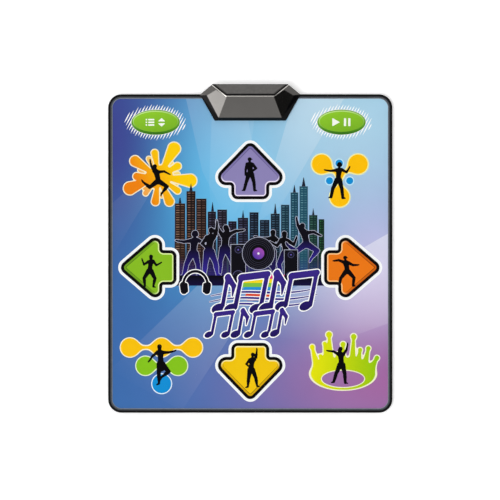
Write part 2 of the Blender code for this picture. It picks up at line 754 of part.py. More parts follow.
def shell_notches():
    """Room in the top shell's rim for the tape on both sides and for the socket's tab at the rear."""
    shape = bmesh.new()
    low = TAPE_END - 2 * FIT_GAP
    high = BOX_HALF_WIDTH + CUT_PAST
    for start, end in ((low, high), (-high, -low)):
        add_block(
            shape,
            (start, NOTCH_FRONT, BOX_RIM - CUT_PAST),
            (end, NOTCH_REAR, TAPE_TOP + FIT_GAP),
        )
    half = SOCKET_TAB_HALF + FIT_GAP
    add_block(
        shape,
        (-half, BOX_REAR - WALL_THICKNESS - FIT_GAP, BOX_RIM - CUT_PAST),
        (half, BOX_REAR + CUT_PAST, SOCKET_TAB_TOP + FIT_GAP),
    )
    return add_object("shell_notch_cutter", shape, None)


def make_rear_panel():
    shape = bmesh.new()
    outline = panel_outline(PANEL_RIM + PANEL_GROOVE, PANEL_RIM + PANEL_GROOVE, PANEL_RIM + PANEL_END_GAP)
    add_sloped_slab(shape, outline, -PANEL_SINK - PANEL_THICKNESS, -PANEL_SINK)
    add_object("box_rear_panel", shape, make_finish("rear_panel", (0.10, 0.10, 0.10), 0.3))


def rear_outline(front, grow):
    """The part of the box behind the mat, from a given front line."""
    lean = (BOX_HALF_WIDTH - BOX_REAR_HALF) / (BOX_REAR - BOX_WIDEST)
    half = BOX_REAR_HALF + lean * (BOX_REAR - front)
    corners = [(-half, front), (half, front), (BOX_REAR_HALF, BOX_REAR), (-BOX_REAR_HALF, BOX_REAR)]
    return grown_polygon(corners, grow)


def make_bottom_shell(finish):
    """A floor under the mat's edge, with walls behind the mat and bosses round the screws."""
    shape = bmesh.new()
    add_prism(shape, BOX_CORNERS, 0.0, FLOOR_THICKNESS)
    shell = add_object("box_bottom_shell", shape, finish)
    wall_top = BOX_RIM - FIT_GAP
    wall = bmesh.new()
    add_prism(wall, rear_outline(NOTCH_REAR, 0.0), FLOOR_THICKNESS / 2, wall_top)
    cut(shell, add_object("rear_wall_form", wall, None), "UNION")
    room = bmesh.new()
    add_prism(
        room,
        rear_outline(NOTCH_REAR - 3 * WALL_THICKNESS, -WALL_THICKNESS),
        FLOOR_THICKNESS,
        wall_top + CUT_PAST,
    )
    cut(shell, add_object("rear_room_cutter", room, None))
    cut(shell, floor_additions(wall_top), "UNION")
    cut(shell, floor_cuts(wall_top))


def floor_additions(wall_top):
    """Screw bosses on the floor, and the tab that holds the socket's hole."""
    shape = bmesh.new()
    for centre, through_mat in screw_places().values():
        top = FOAM_TOP if through_mat else wall_top
        add_prism(shape, circle(centre, BOSS_RADIUS, ROUND_POINTS), FLOOR_THICKNESS / 2, top)
    add_block(
        shape,
        (-SOCKET_TAB_HALF, BOX_REAR - WALL_THICKNESS, wall_top - CUT_PAST),
        (SOCKET_TAB_HALF, BOX_REAR, SOCKET_TAB_TOP),
    )
    return add_object("floor_additions", shape, None)


def floor_cuts(wall_top):
    """Counterbores and screw holes, the socket's hole, and room for the tape's lower fold."""
    shape = bmesh.new()
    for centre, _ in screw_places().values():
        head = circle(centre, SCREW_HEAD_RADIUS + SCREW_HEAD_GAP, ROUND_POINTS)
        hole = circle(centre, SCREW_RADIUS + SCREW_HOLE_GAP, ROUND_POINTS)
        levels = ((head, -CUT_PAST), (head, head_seat()), (hole, head_seat()), (hole, wall_top + CUT_PAST))
        loft(shape, [at_level(outline, level) for outline, level in levels])
    low = TAPE_END - 2 * FIT_GAP
    high = BOX_HALF_WIDTH + CUT_PAST
    for start, end in ((low, high), (-high, -low)):
        add_block(shape, (start, NOTCH_FRONT, -CUT_PAST), (end, NOTCH_REAR, FLOOR_THICKNESS + CUT_PAST))
    ring = circle((0.0, SOCKET_CENTRE), SOCKET_HOLE_RADIUS, ROUND_POINTS)
    near = BOX_REAR - WALL_THICKNESS - CUT_PAST
    far = BOX_REAR + CUT_PAST
    loft(shape, [[(x, y, z) for x, z in ring] for y in (near, far)])
    return add_object("floor_cutter", shape, None)


def head_seat():
    """The face that a box screw's head pulls against."""
    return HEAD_SINK + SCREW_HEAD_HEIGHT + FIT_GAP


def screw_tip():
    return HEAD_SINK + SCREW_HEAD_HEIGHT + SCREW_REACH


def make_screw(name, centre, head_radius, shank_radius, levels, finish):
    """A pan-head screw with a cross recess, head down. Levels are the head's face, its seat and the tip."""
    face, seat, tip = levels
    shape = bmesh.new()
    chamfer = (seat - face) / 4
    rows = (
        (head_radius - 2 * chamfer, face),
        (head_radius - chamfer / 2, face + chamfer),
        (head_radius, face + 2 * chamfer),
        (head_radius, seat),
        (shank_radius, seat),
        (shank_radius, tip - shank_radius),
        (shank_radius / 3, tip),
    )
    loft(shape, [at_level(circle(centre, radius, SMALL_ROUND_POINTS), level) for radius, level in rows])
    screw = add_object(name, shape, finish, smooth=True)
    recess = bmesh.new()
    quarter = [
        (RECESS_ARM, -RECESS_HALF_SLOT),
        (RECESS_ARM, RECESS_HALF_SLOT),
        (RECESS_HALF_SLOT, RECESS_HALF_SLOT),
    ]
    cross = []
    for turns in range(4):
        cross += placed(quarter, (0.0, 0.0), turns)
    add_prism(recess, placed(cross, centre), face - CUT_PAST, face + RECESS_DEPTH)
    cut(screw, add_object(f"{name}_recess_cutter", recess, None))


def make_board():
    shape = bmesh.new()
    low = (-BOARD_HALF_WIDTH, REAR_EDGE + BOARD_FRONT, BOARD_UNDERSIDE)
    high = (BOARD_HALF_WIDTH, REAR_EDGE + BOARD_REAR, BOARD_TOP)
    add_block(shape, low, high)
    board = add_object("circuit_board", shape, make_finish("board", (0.02, 0.14, 0.05), 0.5))
    holes = bmesh.new()
    for centre in board_screw_places().values():
        outline = circle(centre, BOARD_SCREW_RADIUS + SCREW_HOLE_GAP, SMALL_ROUND_POINTS)
        add_prism(holes, outline, BOARD_UNDERSIDE - CUT_PAST, BOARD_TOP + CUT_PAST)
    cut(board, add_object("board_hole_cutter", holes, None))


def make_chip():
    """A dual-in-line chip: the body on a comb of legs."""
    length, width, height = CHIP_SIZE
    x, y = CHIP_AT[0], REAR_EDGE + CHIP_AT[1]
    pitch = length / CHIP_LEGS
    half = width / 2
    row = [(-length / 2, half)]
    for leg in range(CHIP_LEGS):
        middle = -length / 2 + pitch * (leg + 0.5)
        row.append((middle - CHIP_LEG_WIDTH / 2, half))
        row.append((middle - CHIP_LEG_WIDTH / 2, half + CHIP_LEG_REACH))
        row.append((middle + CHIP_LEG_WIDTH / 2, half + CHIP_LEG_REACH))
        row.append((middle + CHIP_LEG_WIDTH / 2, half))
    row.append((length / 2, half))
    comb = row + [(-px, -py) for px, py in row]
    shape = bmesh.new()
    add_prism(shape, placed(comb, (x, y)), ON_BOARD, ON_BOARD + CHIP_LEG_THICKNESS)
    chip = add_object("controller_chip", shape, make_finish("chip", (0.01, 0.01, 0.01), 0.5))
    body = bmesh.new()
    add_block(
        body,
        (x - length / 2 + CHIP_BODY_INSET, y - half + CHIP_BODY_INSET, ON_BOARD + CHIP_LEG_THICKNESS / 2),
        (x + length / 2 - CHIP_BODY_INSET, y + half - CHIP_BODY_INSET, ON_BOARD + height),
    )
    cut(chip, add_object("chip_body_form", body, None), "UNION")


def make_crystal():
    length, width, height = CRYSTAL_SIZE
    can = rounded_polygon(rectangle(length / 2, width / 2), [CRYSTAL_ROUNDING] * 4)
    outline = placed(can, (CRYSTAL_AT[0], REAR_EDGE + CRYSTAL_AT[1]))
    shape = bmesh.new()
    add_prism(shape, outline, ON_BOARD, ON_BOARD + height)
    add_object("clock_crystal", shape, make_finish("crystal_can", (0.6, 0.6, 0.6), 0.3, 1.0))


def make_capacitor():
    centre = (CAPACITOR_AT[0], REAR_EDGE + CAPACITOR_AT[1])
    waist = CAPACITOR_RADIUS - CAPACITOR_GROOVE_DEPTH
    rows = (
        (CAPACITOR_RADIUS, 0.0),
        (CAPACITOR_RADIUS, CAPACITOR_GROOVE_AT - CAPACITOR_GROOVE_DEPTH),
        (waist, CAPACITOR_GROOVE_AT),
        (CAPACITOR_RADIUS, CAPACITOR_GROOVE_AT + CAPACITOR_GROOVE_DEPTH),
        (CAPACITOR_RADIUS, CAPACITOR_HEIGHT - CAPACITOR_GROOVE_DEPTH),
        (waist, CAPACITOR_HEIGHT),
    )
    shape = bmesh.new()
    loft(shape, [at_level(circle(centre, radius, ROUND_POINTS), ON_BOARD + level) for radius, level in rows])
    add_object("capacitor", shape, make_finish("capacitor", (0.02, 0.03, 0.10), 0.4), smooth=True)


def make_film_connector(name, centre, film_bottom):
    """A connector under the board, with a slot that takes a film's tail."""
    front = REAR_EDGE + CONNECTOR_FRONT
    half = TAIL_HALF_WIDTH + SLOT_GAP
    shape = bmesh.new()
    add_block(
        shape,
        (centre - half - CONNECTOR_WALL, front, film_bottom - SLOT_GAP - CONNECTOR_WALL),
        (centre + half + CONNECTOR_WALL, front + CONNECTOR_DEPTH, UNDER_BOARD),
    )
    connector = add_object(name, shape, make_finish(name, (0.75, 0.73, 0.66), 0.5))
    slot = bmesh.new()
    add_block(
        slot,
        (centre - half, front - CUT_PAST, film_bottom - SLOT_GAP),
        (centre + half, front + SLOT_DEPTH, film_bottom + FILM_THICKNESS + SLOT_GAP),
    )
    cut(connector, add_object(f"{name}_slot_cutter", slot, None))


def make_lead_socket():
    """A round socket for a detachable lead, with pins and a key at the bottom of its bore."""
    shape = bmesh.new()
    half = SOCKET_WIDTH / 2
    add_block(shape, (-half, SOCKET_MOUTH - SOCKET_DEPTH, SOCKET_BOTTOM), (half, SOCKET_MOUTH, UNDER_BOARD))
    socket = add_object("lead_socket", shape, make_finish("socket", (0.015, 0.015, 0.015), 0.4))
    floor = SOCKET_MOUTH - SOCKET_BORE_DEPTH
    bore = bmesh.new()
    ring = circle((0.0, SOCKET_CENTRE), SOCKET_BORE_RADIUS, ROUND_POINTS)
    loft(bore, [[(x, y, z) for x, z in ring] for y in (floor, SOCKET_MOUTH + CUT_PAST)])
    cut(socket, add_object("socket_bore_cutter", bore, None))
    pins = bmesh.new()
    for place in range(SOCKET_PINS):
        angle = 2 * math.pi * (place + 0.5) / SOCKET_PINS
        centre = (SOCKET_PIN_CIRCLE * math.cos(angle), SOCKET_CENTRE + SOCKET_PIN_CIRCLE * math.sin(angle))
        ring = circle(centre, SOCKET_PIN_RADIUS, 6)
        loft(pins, [[(x, y, z) for x, z in ring] for y in (floor - CUT_PAST, floor + SOCKET_PIN_LENGTH)])
    cut(socket, add_object("socket_pins", pins, None), "UNION")


def make_layers():
    make_base_cloth()
    make_foam_core()
    make_film("lower_circuit_film", LOWER_FILM_BOTTOM, -TAIL_OFFSET, opened=False)
    foam = make_finish("spacer", (0.8, 0.8, 0.78), 0.95)
    make_opened_layer("spacer_foam", SPACER_BOTTOM, SPACER_TOP, WINDOW_CLEARANCE, foam)
    make_film("upper_circuit_film", UPPER_FILM_BOTTOM, TAIL_OFFSET, opened=True)
    vinyl = make_finish("printed_cover", (0.16, 0.30, 0.56), 0.4)
    make_opened_layer("top_cover", COVER_BOTTOM, COVER_TOP, PAD_CLEARANCE, vinyl)
    make_edge_binding()


def make_control_box():
    shell = make_finish("box_plastic", (0.020, 0.020, 0.022), 0.25)
    steel = make_finish("steel", (0.55, 0.55, 0.56), 0.35, 1.0)
    make_bottom_shell(shell)
    make_top_shell(shell)
    make_rear_panel()
    make_board()
    make_chip()
    make_crystal()
    make_capacitor()
    make_film_connector("lower_film_connector", -TAIL_OFFSET, LOWER_FILM_BOTTOM)
    make_film_connector("upper_film_connector", TAIL_OFFSET, UPPER_FILM_BOTTOM)
    make_lead_socket()
    box_levels = (HEAD_SINK, HEAD_SINK + SCREW_HEAD_HEIGHT, screw_tip())
    for name, (centre, _) in screw_places().items():
        make_screw(name, centre, SCREW_HEAD_RADIUS, SCREW_RADIUS, box_levels, steel)
    board_levels = (UNDER_BOARD - BOARD_SCREW_HEAD_HEIGHT, UNDER_BOARD, UNDER_BOARD + BOARD_SCREW_LENGTH)
    for name, centre in board_screw_places().items():
        make_screw(name, centre, BOARD_SCREW_HEAD_RADIUS, BOARD_SCREW_RADIUS, board_levels, steel)


def main():
    clear_scene()
    make_layers()
    for name, details in pads().items():
        make_pad(name, *details)
    make_control_box()


main()
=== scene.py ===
import math

import bpy
import numpy as np
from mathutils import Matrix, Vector
from mathutils.geometry import delaunay_2d_cdt


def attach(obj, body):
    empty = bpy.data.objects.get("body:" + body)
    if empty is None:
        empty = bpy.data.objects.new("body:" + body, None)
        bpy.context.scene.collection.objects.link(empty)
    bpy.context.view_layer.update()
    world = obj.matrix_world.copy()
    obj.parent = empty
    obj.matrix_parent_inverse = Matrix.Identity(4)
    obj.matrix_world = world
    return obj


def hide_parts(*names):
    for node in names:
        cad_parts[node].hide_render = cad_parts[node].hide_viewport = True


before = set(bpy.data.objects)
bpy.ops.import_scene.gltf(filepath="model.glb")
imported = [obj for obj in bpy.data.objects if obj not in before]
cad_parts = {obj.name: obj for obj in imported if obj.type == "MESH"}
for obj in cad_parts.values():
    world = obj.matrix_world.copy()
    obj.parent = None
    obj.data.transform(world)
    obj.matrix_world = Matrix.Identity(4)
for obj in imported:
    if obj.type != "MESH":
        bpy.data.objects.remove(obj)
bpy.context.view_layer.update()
print("frame loaded:", len(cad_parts), "nodes")

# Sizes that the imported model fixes, in metres
mat = {"width": 0.830, "length": 0.930, "corner": 0.039}
layers = {"coverUnder": 0.0095, "coverTop": 0.0107, "tapeTop": 0.0118}
rowPitch = 0.866  # rows of a staggered grid, as a share of its pitch
sharpAngle = math.radians(50)  # edges that turn more than this stay sharp
snap = {"ink": 1e-6, "underside": 1e-9, "cloth": 1e-7}  # points nearer than this count as one
tightestCorner = 0.0004  # no rounded corner gets a smaller radius
bareCover = 1e-4  # less ink than this counts as none
undersideInk = (0.75, 0.75, 0.75, 1.0)  # pale back of every printed sheet


def rgb(text):
    channels = [int(text[k:k + 2], 16) / 255 for k in (1, 3, 5)]
    return tuple(c / 12.92 if c <= 0.04045 else ((c + 0.055) / 1.055) ** 2.4 for c in channels)


class Wires:
    # adds nodes to a tree; an input is given a number, a colour or the socket that feeds it
    def __init__(self, tree):
        self.tree = tree

    def feed(self, socket, value):
        if isinstance(value, bpy.types.NodeSocket):
            self.tree.links.new(value, socket)
        else:
            socket.default_value = (*value, 1.0) if socket.type == "RGBA" else value

    def node(self, kind, inputs=None, **settings):
        made = self.tree.nodes.new(kind)
        for key, value in settings.items():
            setattr(made, key, value)
        for key, value in (inputs or {}).items():
            self.feed(made.inputs[key], value)
        return made.outputs

    def math(self, operation, *values, clamp=False):
        return self.node("ShaderNodeMath", dict(enumerate(values)), operation=operation, use_clamp=clamp)[0]

    def mix(self, factor, first, second, blend="MIX"):
        inputs = {0: factor, 6: first, 7: second}
        return self.node("ShaderNodeMix", inputs, data_type="RGBA", blend_type=blend)[2]

    def point(self):
        return self.node("ShaderNodeTexCoord")["Object"]

    def axes(self, vector=None):
        return self.node("ShaderNodeSeparateXYZ", {"Vector": vector or self.point()})

    def noise(self, scale, detail=2.0):
        inputs = {"Vector": self.point(), "Scale": scale, "Detail": detail}
        return self.node("ShaderNodeTexNoise", inputs)["Fac"]

    def use(self, group, inputs):
        return self.node("ShaderNodeGroup", inputs, node_tree=group)

    def grain(self, roughness, swing, clouds, pebbles=900.0):
        return self.use(surfaceGrain, {"Pebble Scale": pebbles, "Cloud Scale": clouds, "Roughness": roughness,
                                       "Roughness Swing": swing})


def sharedGroup(name, inputs, outputs, build):
    # a node group: inputs with their values, outputs with their kinds, and what makes the outputs
    tree = bpy.data.node_groups.new(name, "ShaderNodeTree")
    for label, value in inputs.items():
        kind = "Color" if isinstance(value, tuple) else "Float"
        socket = tree.interface.new_socket(name=label, in_out="INPUT", socket_type="NodeSocket" + kind)
        socket.default_value = (*value, 1.0) if kind == "Color" else value
    for label, kind in outputs.items():
        tree.interface.new_socket(name=label, in_out="OUTPUT", socket_type="NodeSocket" + kind)
    wires = Wires(tree)
    made = build(wires, wires.node("NodeGroupInput"))
    wires.node("NodeGroupOutput", dict(zip(outputs, made)))
    return tree


def makeGrain(w, given):
    # fine pebble grain with slow cloudy shading, for vinyl and moulded plastic
    inputs = {"Vector": w.point(), "Scale": given["Pebble Scale"]}
    pebble = w.node("ShaderNodeTexVoronoi", inputs, feature="SMOOTH_F1")
    cloud = w.noise(given["Cloud Scale"], 3.0)
    swing = w.math("SUBTRACT", cloud, 0.5)
    rough = w.math("MULTIPLY_ADD", swing, given["Roughness Swing"], given["Roughness"])
    return pebble["Distance"], rough, cloud


def makeGlow(w, given):
    # a soft oval patch of light, 1 at its middle
    point, squares = w.axes(), []
    for axis in "XY":
        shift = w.math("SUBTRACT", point[axis], given["Centre " + axis])
        away = w.math("DIVIDE", shift, given["Reach " + axis])
        squares.append(w.math("MULTIPLY", away, away))
    return [w.math("EXPONENT", w.math("MULTIPLY", w.math("ADD", *squares), -1.0))]


def makeWeave(w, given):
    # plain weave of flat threads, with a little unevenness
    point = w.axes()
    waves = [w.math("SINE", w.math("MULTIPLY", point[axis], given["Threads"])) for axis in "XY"]
    height = w.math("MULTIPLY_ADD", w.math("MULTIPLY", *waves), 0.5, 0.5)
    shade = w.math("MULTIPLY", height, w.noise(60.0))
    return w.mix(shade, given["Dark"], given["Light"]), height


def makeWear(w, given):
    # pale rubbed edges, from the surface's pointiness, broken up by noise
    pointed = w.node("ShaderNodeNewGeometry")["Pointiness"]
    edge = w.node("ShaderNodeMapRange", {0: pointed, 1: 0.52, 2: 0.60})[0]
    mask = w.math("MULTIPLY", w.math("MULTIPLY", edge, w.noise(140.0, 4.0)), given["Amount"], clamp=True)
    return [w.mix(mask, given["Color"], given["Worn Color"])]


def makeTraces(w, given):
    # thin printed conductors in a staggered grid, with round pads among them
    grid = {"Vector": w.point(), "Scale": given["Scale"], "Mortar Size": given["Line"], "Mortar Smooth": 0.0,
            "Bias": 0.0, "Brick Width": 0.9, "Row Height": 0.22}
    dots = {"Vector": w.point(), "Scale": w.math("MULTIPLY", given["Scale"], 1.4), "Randomness": 0.35}
    line = w.node("ShaderNodeTexBrick", grid)["Fac"]
    dot = w.node("ShaderNodeTexVoronoi", dots, feature="F1")["Distance"]
    return [w.math("MAXIMUM", line, w.math("LESS_THAN", dot, 0.16))]


surfaceGrain = sharedGroup(
    "surfaceGrain", {"Pebble Scale": 900.0, "Cloud Scale": 6.0, "Roughness": 0.4, "Roughness Swing": 0.1},
    {"Height": "Float", "Roughness": "Float", "Cloud": "Float"}, makeGrain)
softGlow = sharedGroup(
    "softGlow", {"Centre X": 0.0, "Centre Y": 0.0, "Reach X": 0.3, "Reach Y": 0.3},
    {"Mask": "Float"}, makeGlow)
wovenTape = sharedGroup(
    "wovenTape", {"Threads": 900.0, "Dark": (0.02, 0.02, 0.02), "Light": (0.06, 0.06, 0.06)},
    {"Color": "Color", "Height": "Float"}, makeWeave)
rubbedEdges = sharedGroup(
    "rubbedEdges", {"Color": (0.05, 0.05, 0.05), "Worn Color": (0.2, 0.2, 0.2), "Amount": 0.4},
    {"Color": "Color"}, makeWear)
printedTraces = sharedGroup("printedTraces", {"Scale": 90.0, "Line": 0.03}, {"Mask": "Float"}, makeTraces)


def newMaterial(name):
    material = bpy.data.materials.new(name)
    material.use_nodes = True
    return material, Wires(material.node_tree)


def setShader(wires, colour, grain, height, depth, specular=0.5, metallic=0.0, sheen=0.0):
    # the grain gives the roughness, and the height the bumps
    shader = wires.tree.nodes["Principled BSDF"]
    bump = wires.node("ShaderNodeBump", {"Height": height, "Distance": depth})
    for name, value in (("Base Color", colour), ("Roughness", grain["Roughness"]), ("Normal", bump["Normal"]),
                        ("Specular IOR Level", specular), ("Metallic", metallic), ("Sheen Weight", sheen)):
        wires.feed(shader.inputs[name], value)


def grained(name, colour, shade, roughness, pebbles, depth, swing=0.12, clouds=6.0, **more):
    # one colour that drifts towards its shade, over a fine grain
    material, wires = newMaterial(name)
    grain = wires.grain(roughness, swing, clouds, pebbles)
    tint = wires.mix(grain["Cloud"], rgb(colour), rgb(shade))
    setShader(wires, tint, grain, grain["Height"], depth, **more)
    return material


def inScene(name, data):
    made = bpy.data.objects.new(name, data)
    bpy.context.scene.collection.objects.link(made)
    return made


def newPiece(name, vertices, faces, materials, smooth=True, zones=None, inks=None, sharp=False):
    # zones gives each face's material, inks each corner's colour, smooth one value or one for each face
    mesh = bpy.data.meshes.new(name)
    mesh.from_pydata(vertices, [], faces)
    for material in materials:
        mesh.materials.append(material)
    mesh.polygons.foreach_set("use_smooth", np.full(len(faces), smooth))
    if zones:
        mesh.polygons.foreach_set("material_index", zones)
    if inks is not None:
        layer = mesh.color_attributes.new("ink", "FLOAT_COLOR", "CORNER")
        layer.data.foreach_set("color", inks.ravel())
    mesh.validate()
    mesh.update()
    if sharp:
        mesh.set_sharp_from_angle(angle=sharpAngle)
    return inScene(name, mesh)


def joined(parts):
    # one list of vertices and one of faces from several pairs of them
    vertices, faces = [], []
    for points, corners in parts:
        faces += [tuple(len(vertices) + k for k in face) for face in corners]
        vertices += points
    return vertices, faces


def skinned(rings):
    # vertices and faces of a skin over closed rings of points, capped at both ends
    count = len(rings[0])
    vertices = [point for ring in rings for point in ring]
    faces = []
    for k in range(0, len(vertices) - count, count):
        for m in range(count):
            n = (m + 1) % count
            faces.append((k + m, k + n, k + count + n, k + count + m))
    ends = [tuple(range(count))[::-1], tuple(range(len(vertices) - count, len(vertices)))]
    return vertices, faces + ends


def sides(loop):
    return zip(loop, loop[1:] + loop[:1])


def outwardNormals(corners):
    normals = []
    for (x, y), (nextX, nextY) in sides(corners):
        length = math.hypot(nextX - x, nextY - y)
        normals.append(((nextY - y) / length, (x - nextX) / length))
    return normals


def grownPolygon(corners, grow):
    normals = outwardNormals(corners)
    moved = []
    for (x, y), before, after in zip(corners, normals[-1:] + normals[:-1], normals):
        along = 1 + before[0] * after[0] + before[1] * after[1]
        moved.append((x + grow * (before[0] + after[0]) / along, y + grow * (before[1] + after[1]) / along))
    return moved


def roundedPolygon(corners, radii, grow=0.0, steps=10):
    # an anticlockwise outline with arcs at its corners, each edge moved outwards by grow
    corners = grownPolygon(corners, grow)
    normals = outwardNormals(corners)
    outline = []
    for corner, radius, before, after in zip(corners, radii, normals[-1:] + normals[:-1], normals):
        across = before[0] * after[1] - before[1] * after[0]
        turn = math.atan2(across, before[0] * after[0] + before[1] * after[1])
        side = 1 if turn > 0 else -1
        reach = max(radius + side * grow, tightestCorner) * side
        along = reach * math.tan(turn / 2)
        centre = (corner[0] + before[1] * along - before[0] * reach,
                  corner[1] - before[0] * along - before[1] * reach)
        first = math.atan2(before[1], before[0])
        for step in range(steps + 1):
            angle = first + turn * step / steps
            outline.append((centre[0] + reach * math.cos(angle), centre[1] + reach * math.sin(angle)))
    return outline


def placed(outline, at, quarterTurns=0):
    turned = []
    for x, y in outline:
        for _ in range(quarterTurns):
            x, y = -y, x
        turned.append((x + at[0], y + at[1]))
    return turned


def oval(at, half, points=56):
    turns = [2 * math.pi * step / points for step in range(points)]
    return [(at[0] + half[0] * math.cos(turn), at[1] + half[1] * math.sin(turn)) for turn in turns]


def disc(at, radius, points=48):
    return oval(at, (radius, radius), points)


def rectangle(x0, y0, x1, y1):
    return [(x0, y0), (x1, y0), (x1, y1), (x0, y1)]


def bar(x0, y0, x1, y1, radius=0.0016):
    return roundedPolygon(rectangle(x0, y0, x1, y1), [radius] * 4, steps=4)


def matOutline(inset):
    x, y = mat["width"] / 2, mat["length"] / 2
    return roundedPolygon([(-x, y), (-x, -y), (x, -y), (x, y)], [mat["corner"]] * 4, -inset)


def arrowShape(size, grow=0.0):
    stem, half, base = size["stem"], size["halfStem"], size["halfBase"]
    corners = [(-half, -stem), (half, -stem), (half, 0.0), (base, 0.0), (0.0, size["tip"]), (-base, 0.0),
               (-half, 0.0)]
    end, notch, foot = size["endRadius"], size["notchRadius"], size["baseRadius"]
    return roundedPolygon(corners, [end, end, notch, foot, size["tipRadius"], foot, notch], grow)


def ovalShape(size, grow=0.0):
    return oval((0.0, 0.0), (size["half"][0] + grow, size["half"][1] + grow), 72)


def lobedShape(size, grow=0.0):
    (wide, deep), lobes, outline = size["half"], size["lobes"], []
    for step in range(lobes * size["points"]):
        angle = 2 * math.pi * step / (lobes * size["points"])
        swell = size["swell"] * math.cos(lobes * (angle - math.radians(size["turn"])))
        outline.append(((wide + swell) * math.cos(angle), (deep + swell) * math.sin(angle)))
    return grownPolygon(outline, grow)


def limbField(x, y, a, b, radiusA, radiusB):
    # how far points lie outside a limb that runs from a to b
    dx, dy = b[0] - a[0], b[1] - a[1]
    t = np.clip(((x - a[0]) * dx + (y - a[1]) * dy) / max(dx * dx + dy * dy, 1e-12), 0, 1)
    return np.hypot(x - a[0] - t * dx, y - a[1] - t * dy) - (radiusA + (radiusB - radiusA) * t)


def distanceTo(outline, x, y):
    # how far points lie from an outline, on either side
    best = np.full(len(x), np.inf)
    for a, b in sides(outline):
        best = np.minimum(best, limbField(x, y, a, b, 0.0, 0.0))
    return best


def melt(fields, blend):
    # joins fields with a fillet of about the blend's size
    joinedField = fields[0]
    for field in fields[1:]:
        h = np.clip(0.5 + 0.5 * (field - joinedField) / blend, 0, 1)
        joinedField = field + (joinedField - field) * h - blend * h * (1 - h)
    return joinedField


def drawing(shapes, blend, at=(0.0, 0.0), size=1.0, lean=0.0, flip=1):
    # a field that melts its shapes, each a limb or another field, in units of its size round its place
    def field(x, y):
        v = (y - at[1]) / size
        u = flip * (x - at[0]) / size - lean * v
        parts = [shape(u, v) if callable(shape) else limbField(u, v, *shape) for shape in shapes]
        return melt(parts, blend) * size
    return field


def blob(at, radius):
    # a limb of no length
    return at, at, radius, radius


def smoothStep(t):
    t = np.clip(t, 0, 1)
    return t * t * (3 - 2 * t)


def around(at, across, down, up=None):
    return (at[0] - across, at[1] - down), (at[0] + across, at[1] + (up or down))


def contours(field, box, step, level=0.0):
    # the loops where the field crosses the level, by marching over a grid in the box
    xs, ys = [np.arange(low, high + step, step) for low, high in zip(*box)]
    value = field(*np.meshgrid(xs, ys, indexing="ij")) - level + 1e-9  # never quite on a crossing
    inside = value < 0
    mixed = inside[:-1, :-1].astype(int) + inside[1:, :-1] + inside[:-1, 1:] + inside[1:, 1:]
    joins, places = {}, {}
    for i, j in np.argwhere((mixed > 0) & (mixed < 4)).tolist():
        cut = []
        low, right, up, far = (i, j), (i + 1, j), (i, j + 1), (i + 1, j + 1)
        for a, b in ((low, right), (right, far), (up, far), (low, up)):
            if inside[a] != inside[b]:
                t = value[a] / (value[a] - value[b])
                places[a, b] = (xs[a[0]] + (xs[b[0]] - xs[a[0]]) * t, ys[a[1]] + (ys[b[1]] - ys[a[1]]) * t)
                cut.append((a, b))
        pairs = [(cut[0], cut[1])] if len(cut) == 2 else [(cut[0], cut[3]), (cut[1], cut[2])]
        for one, other in pairs:
            joins.setdefault(one, []).append(other)
            joins.setdefault(other, []).append(one)
    loops, seen = [], set()
    for first in joins:
        loop, here = [], None if first in seen else first
        while here is not None:
            seen.add(here)
            loop.append(places[here])
            here = next((n for n in joins[here] if n not in seen), None)
        if len(loop) > 5:  # shorter ones are specks
            loops.append(loop)
    return loops


def ink(loops, colour, to=None, along=(0.0, 1.0), cover=1.0, fade=None, span=None):
    # one printed area: its loops, its colour and cover, and what both fade to along a direction
    if isinstance(loops[0][0], (int, float)):
        loops = [loops]
    spread = [x * along[0] + y * along[1] for loop in loops for x, y in loop]
    return {"loops": loops, "from": rgb(colour), "to": rgb(to or colour), "along": along,
            "span": span or (min(spread), max(spread)), "cover": cover,
            "fade": cover if fade is None else fade}


def rimmed(field, box, step, rim, edge, colour, holes=(), **fading):
    # a melted shape over its pale rim
    return [ink(contours(field, box, step, edge) + list(holes), rim),
            ink(contours(field, box, step) + list(holes), colour, **fading)]


def signedArea(loop):
    return sum(x * b - a * y for (x, y), (a, b) in sides(loop)) / 2


def anticlockwise(loop):
    return loop if signedArea(loop) > 0 else loop[::-1]


def finer(loop, step):
    # the same loop with no edge longer than the step
    made = []
    for (x, y), (nextX, nextY) in sides(loop):
        parts = max(1, math.ceil(math.hypot(nextX - x, nextY - y) / step))
        made += [(x + (nextX - x) * k / parts, y + (nextY - y) * k / parts) for k in range(parts)]
    return made


def staggered(low, high, pitch):
    # points in rows, every other row shifted by half a pitch
    points, row, y = [], 0, low[1]
    while y < high[1]:
        x = low[0] + (pitch / 2 if row % 2 else 0.0)
        while x < high[0]:
            points.append((x, y))
            x += pitch
        y += pitch * rowPitch
        row += 1
    return points


def fill(loops, near):
    # triangles between the first loop and the loops inside it, as numbers of their points in order
    spans, start = [], 0
    for loop in loops:
        numbers = list(range(start, start + len(loop)))
        spans.append(numbers if signedArea(loop) > 0 else numbers[::-1])
        start += len(loop)
    made = delaunay_2d_cdt([Vector(p) for loop in loops for p in loop], [], spans, 1, near, True)
    kept = [corners for corners, parents in zip(made[2], made[5]) if set(parents) == {0}]
    return [tuple(made[3][k][0] for k in corners) for corners in kept]


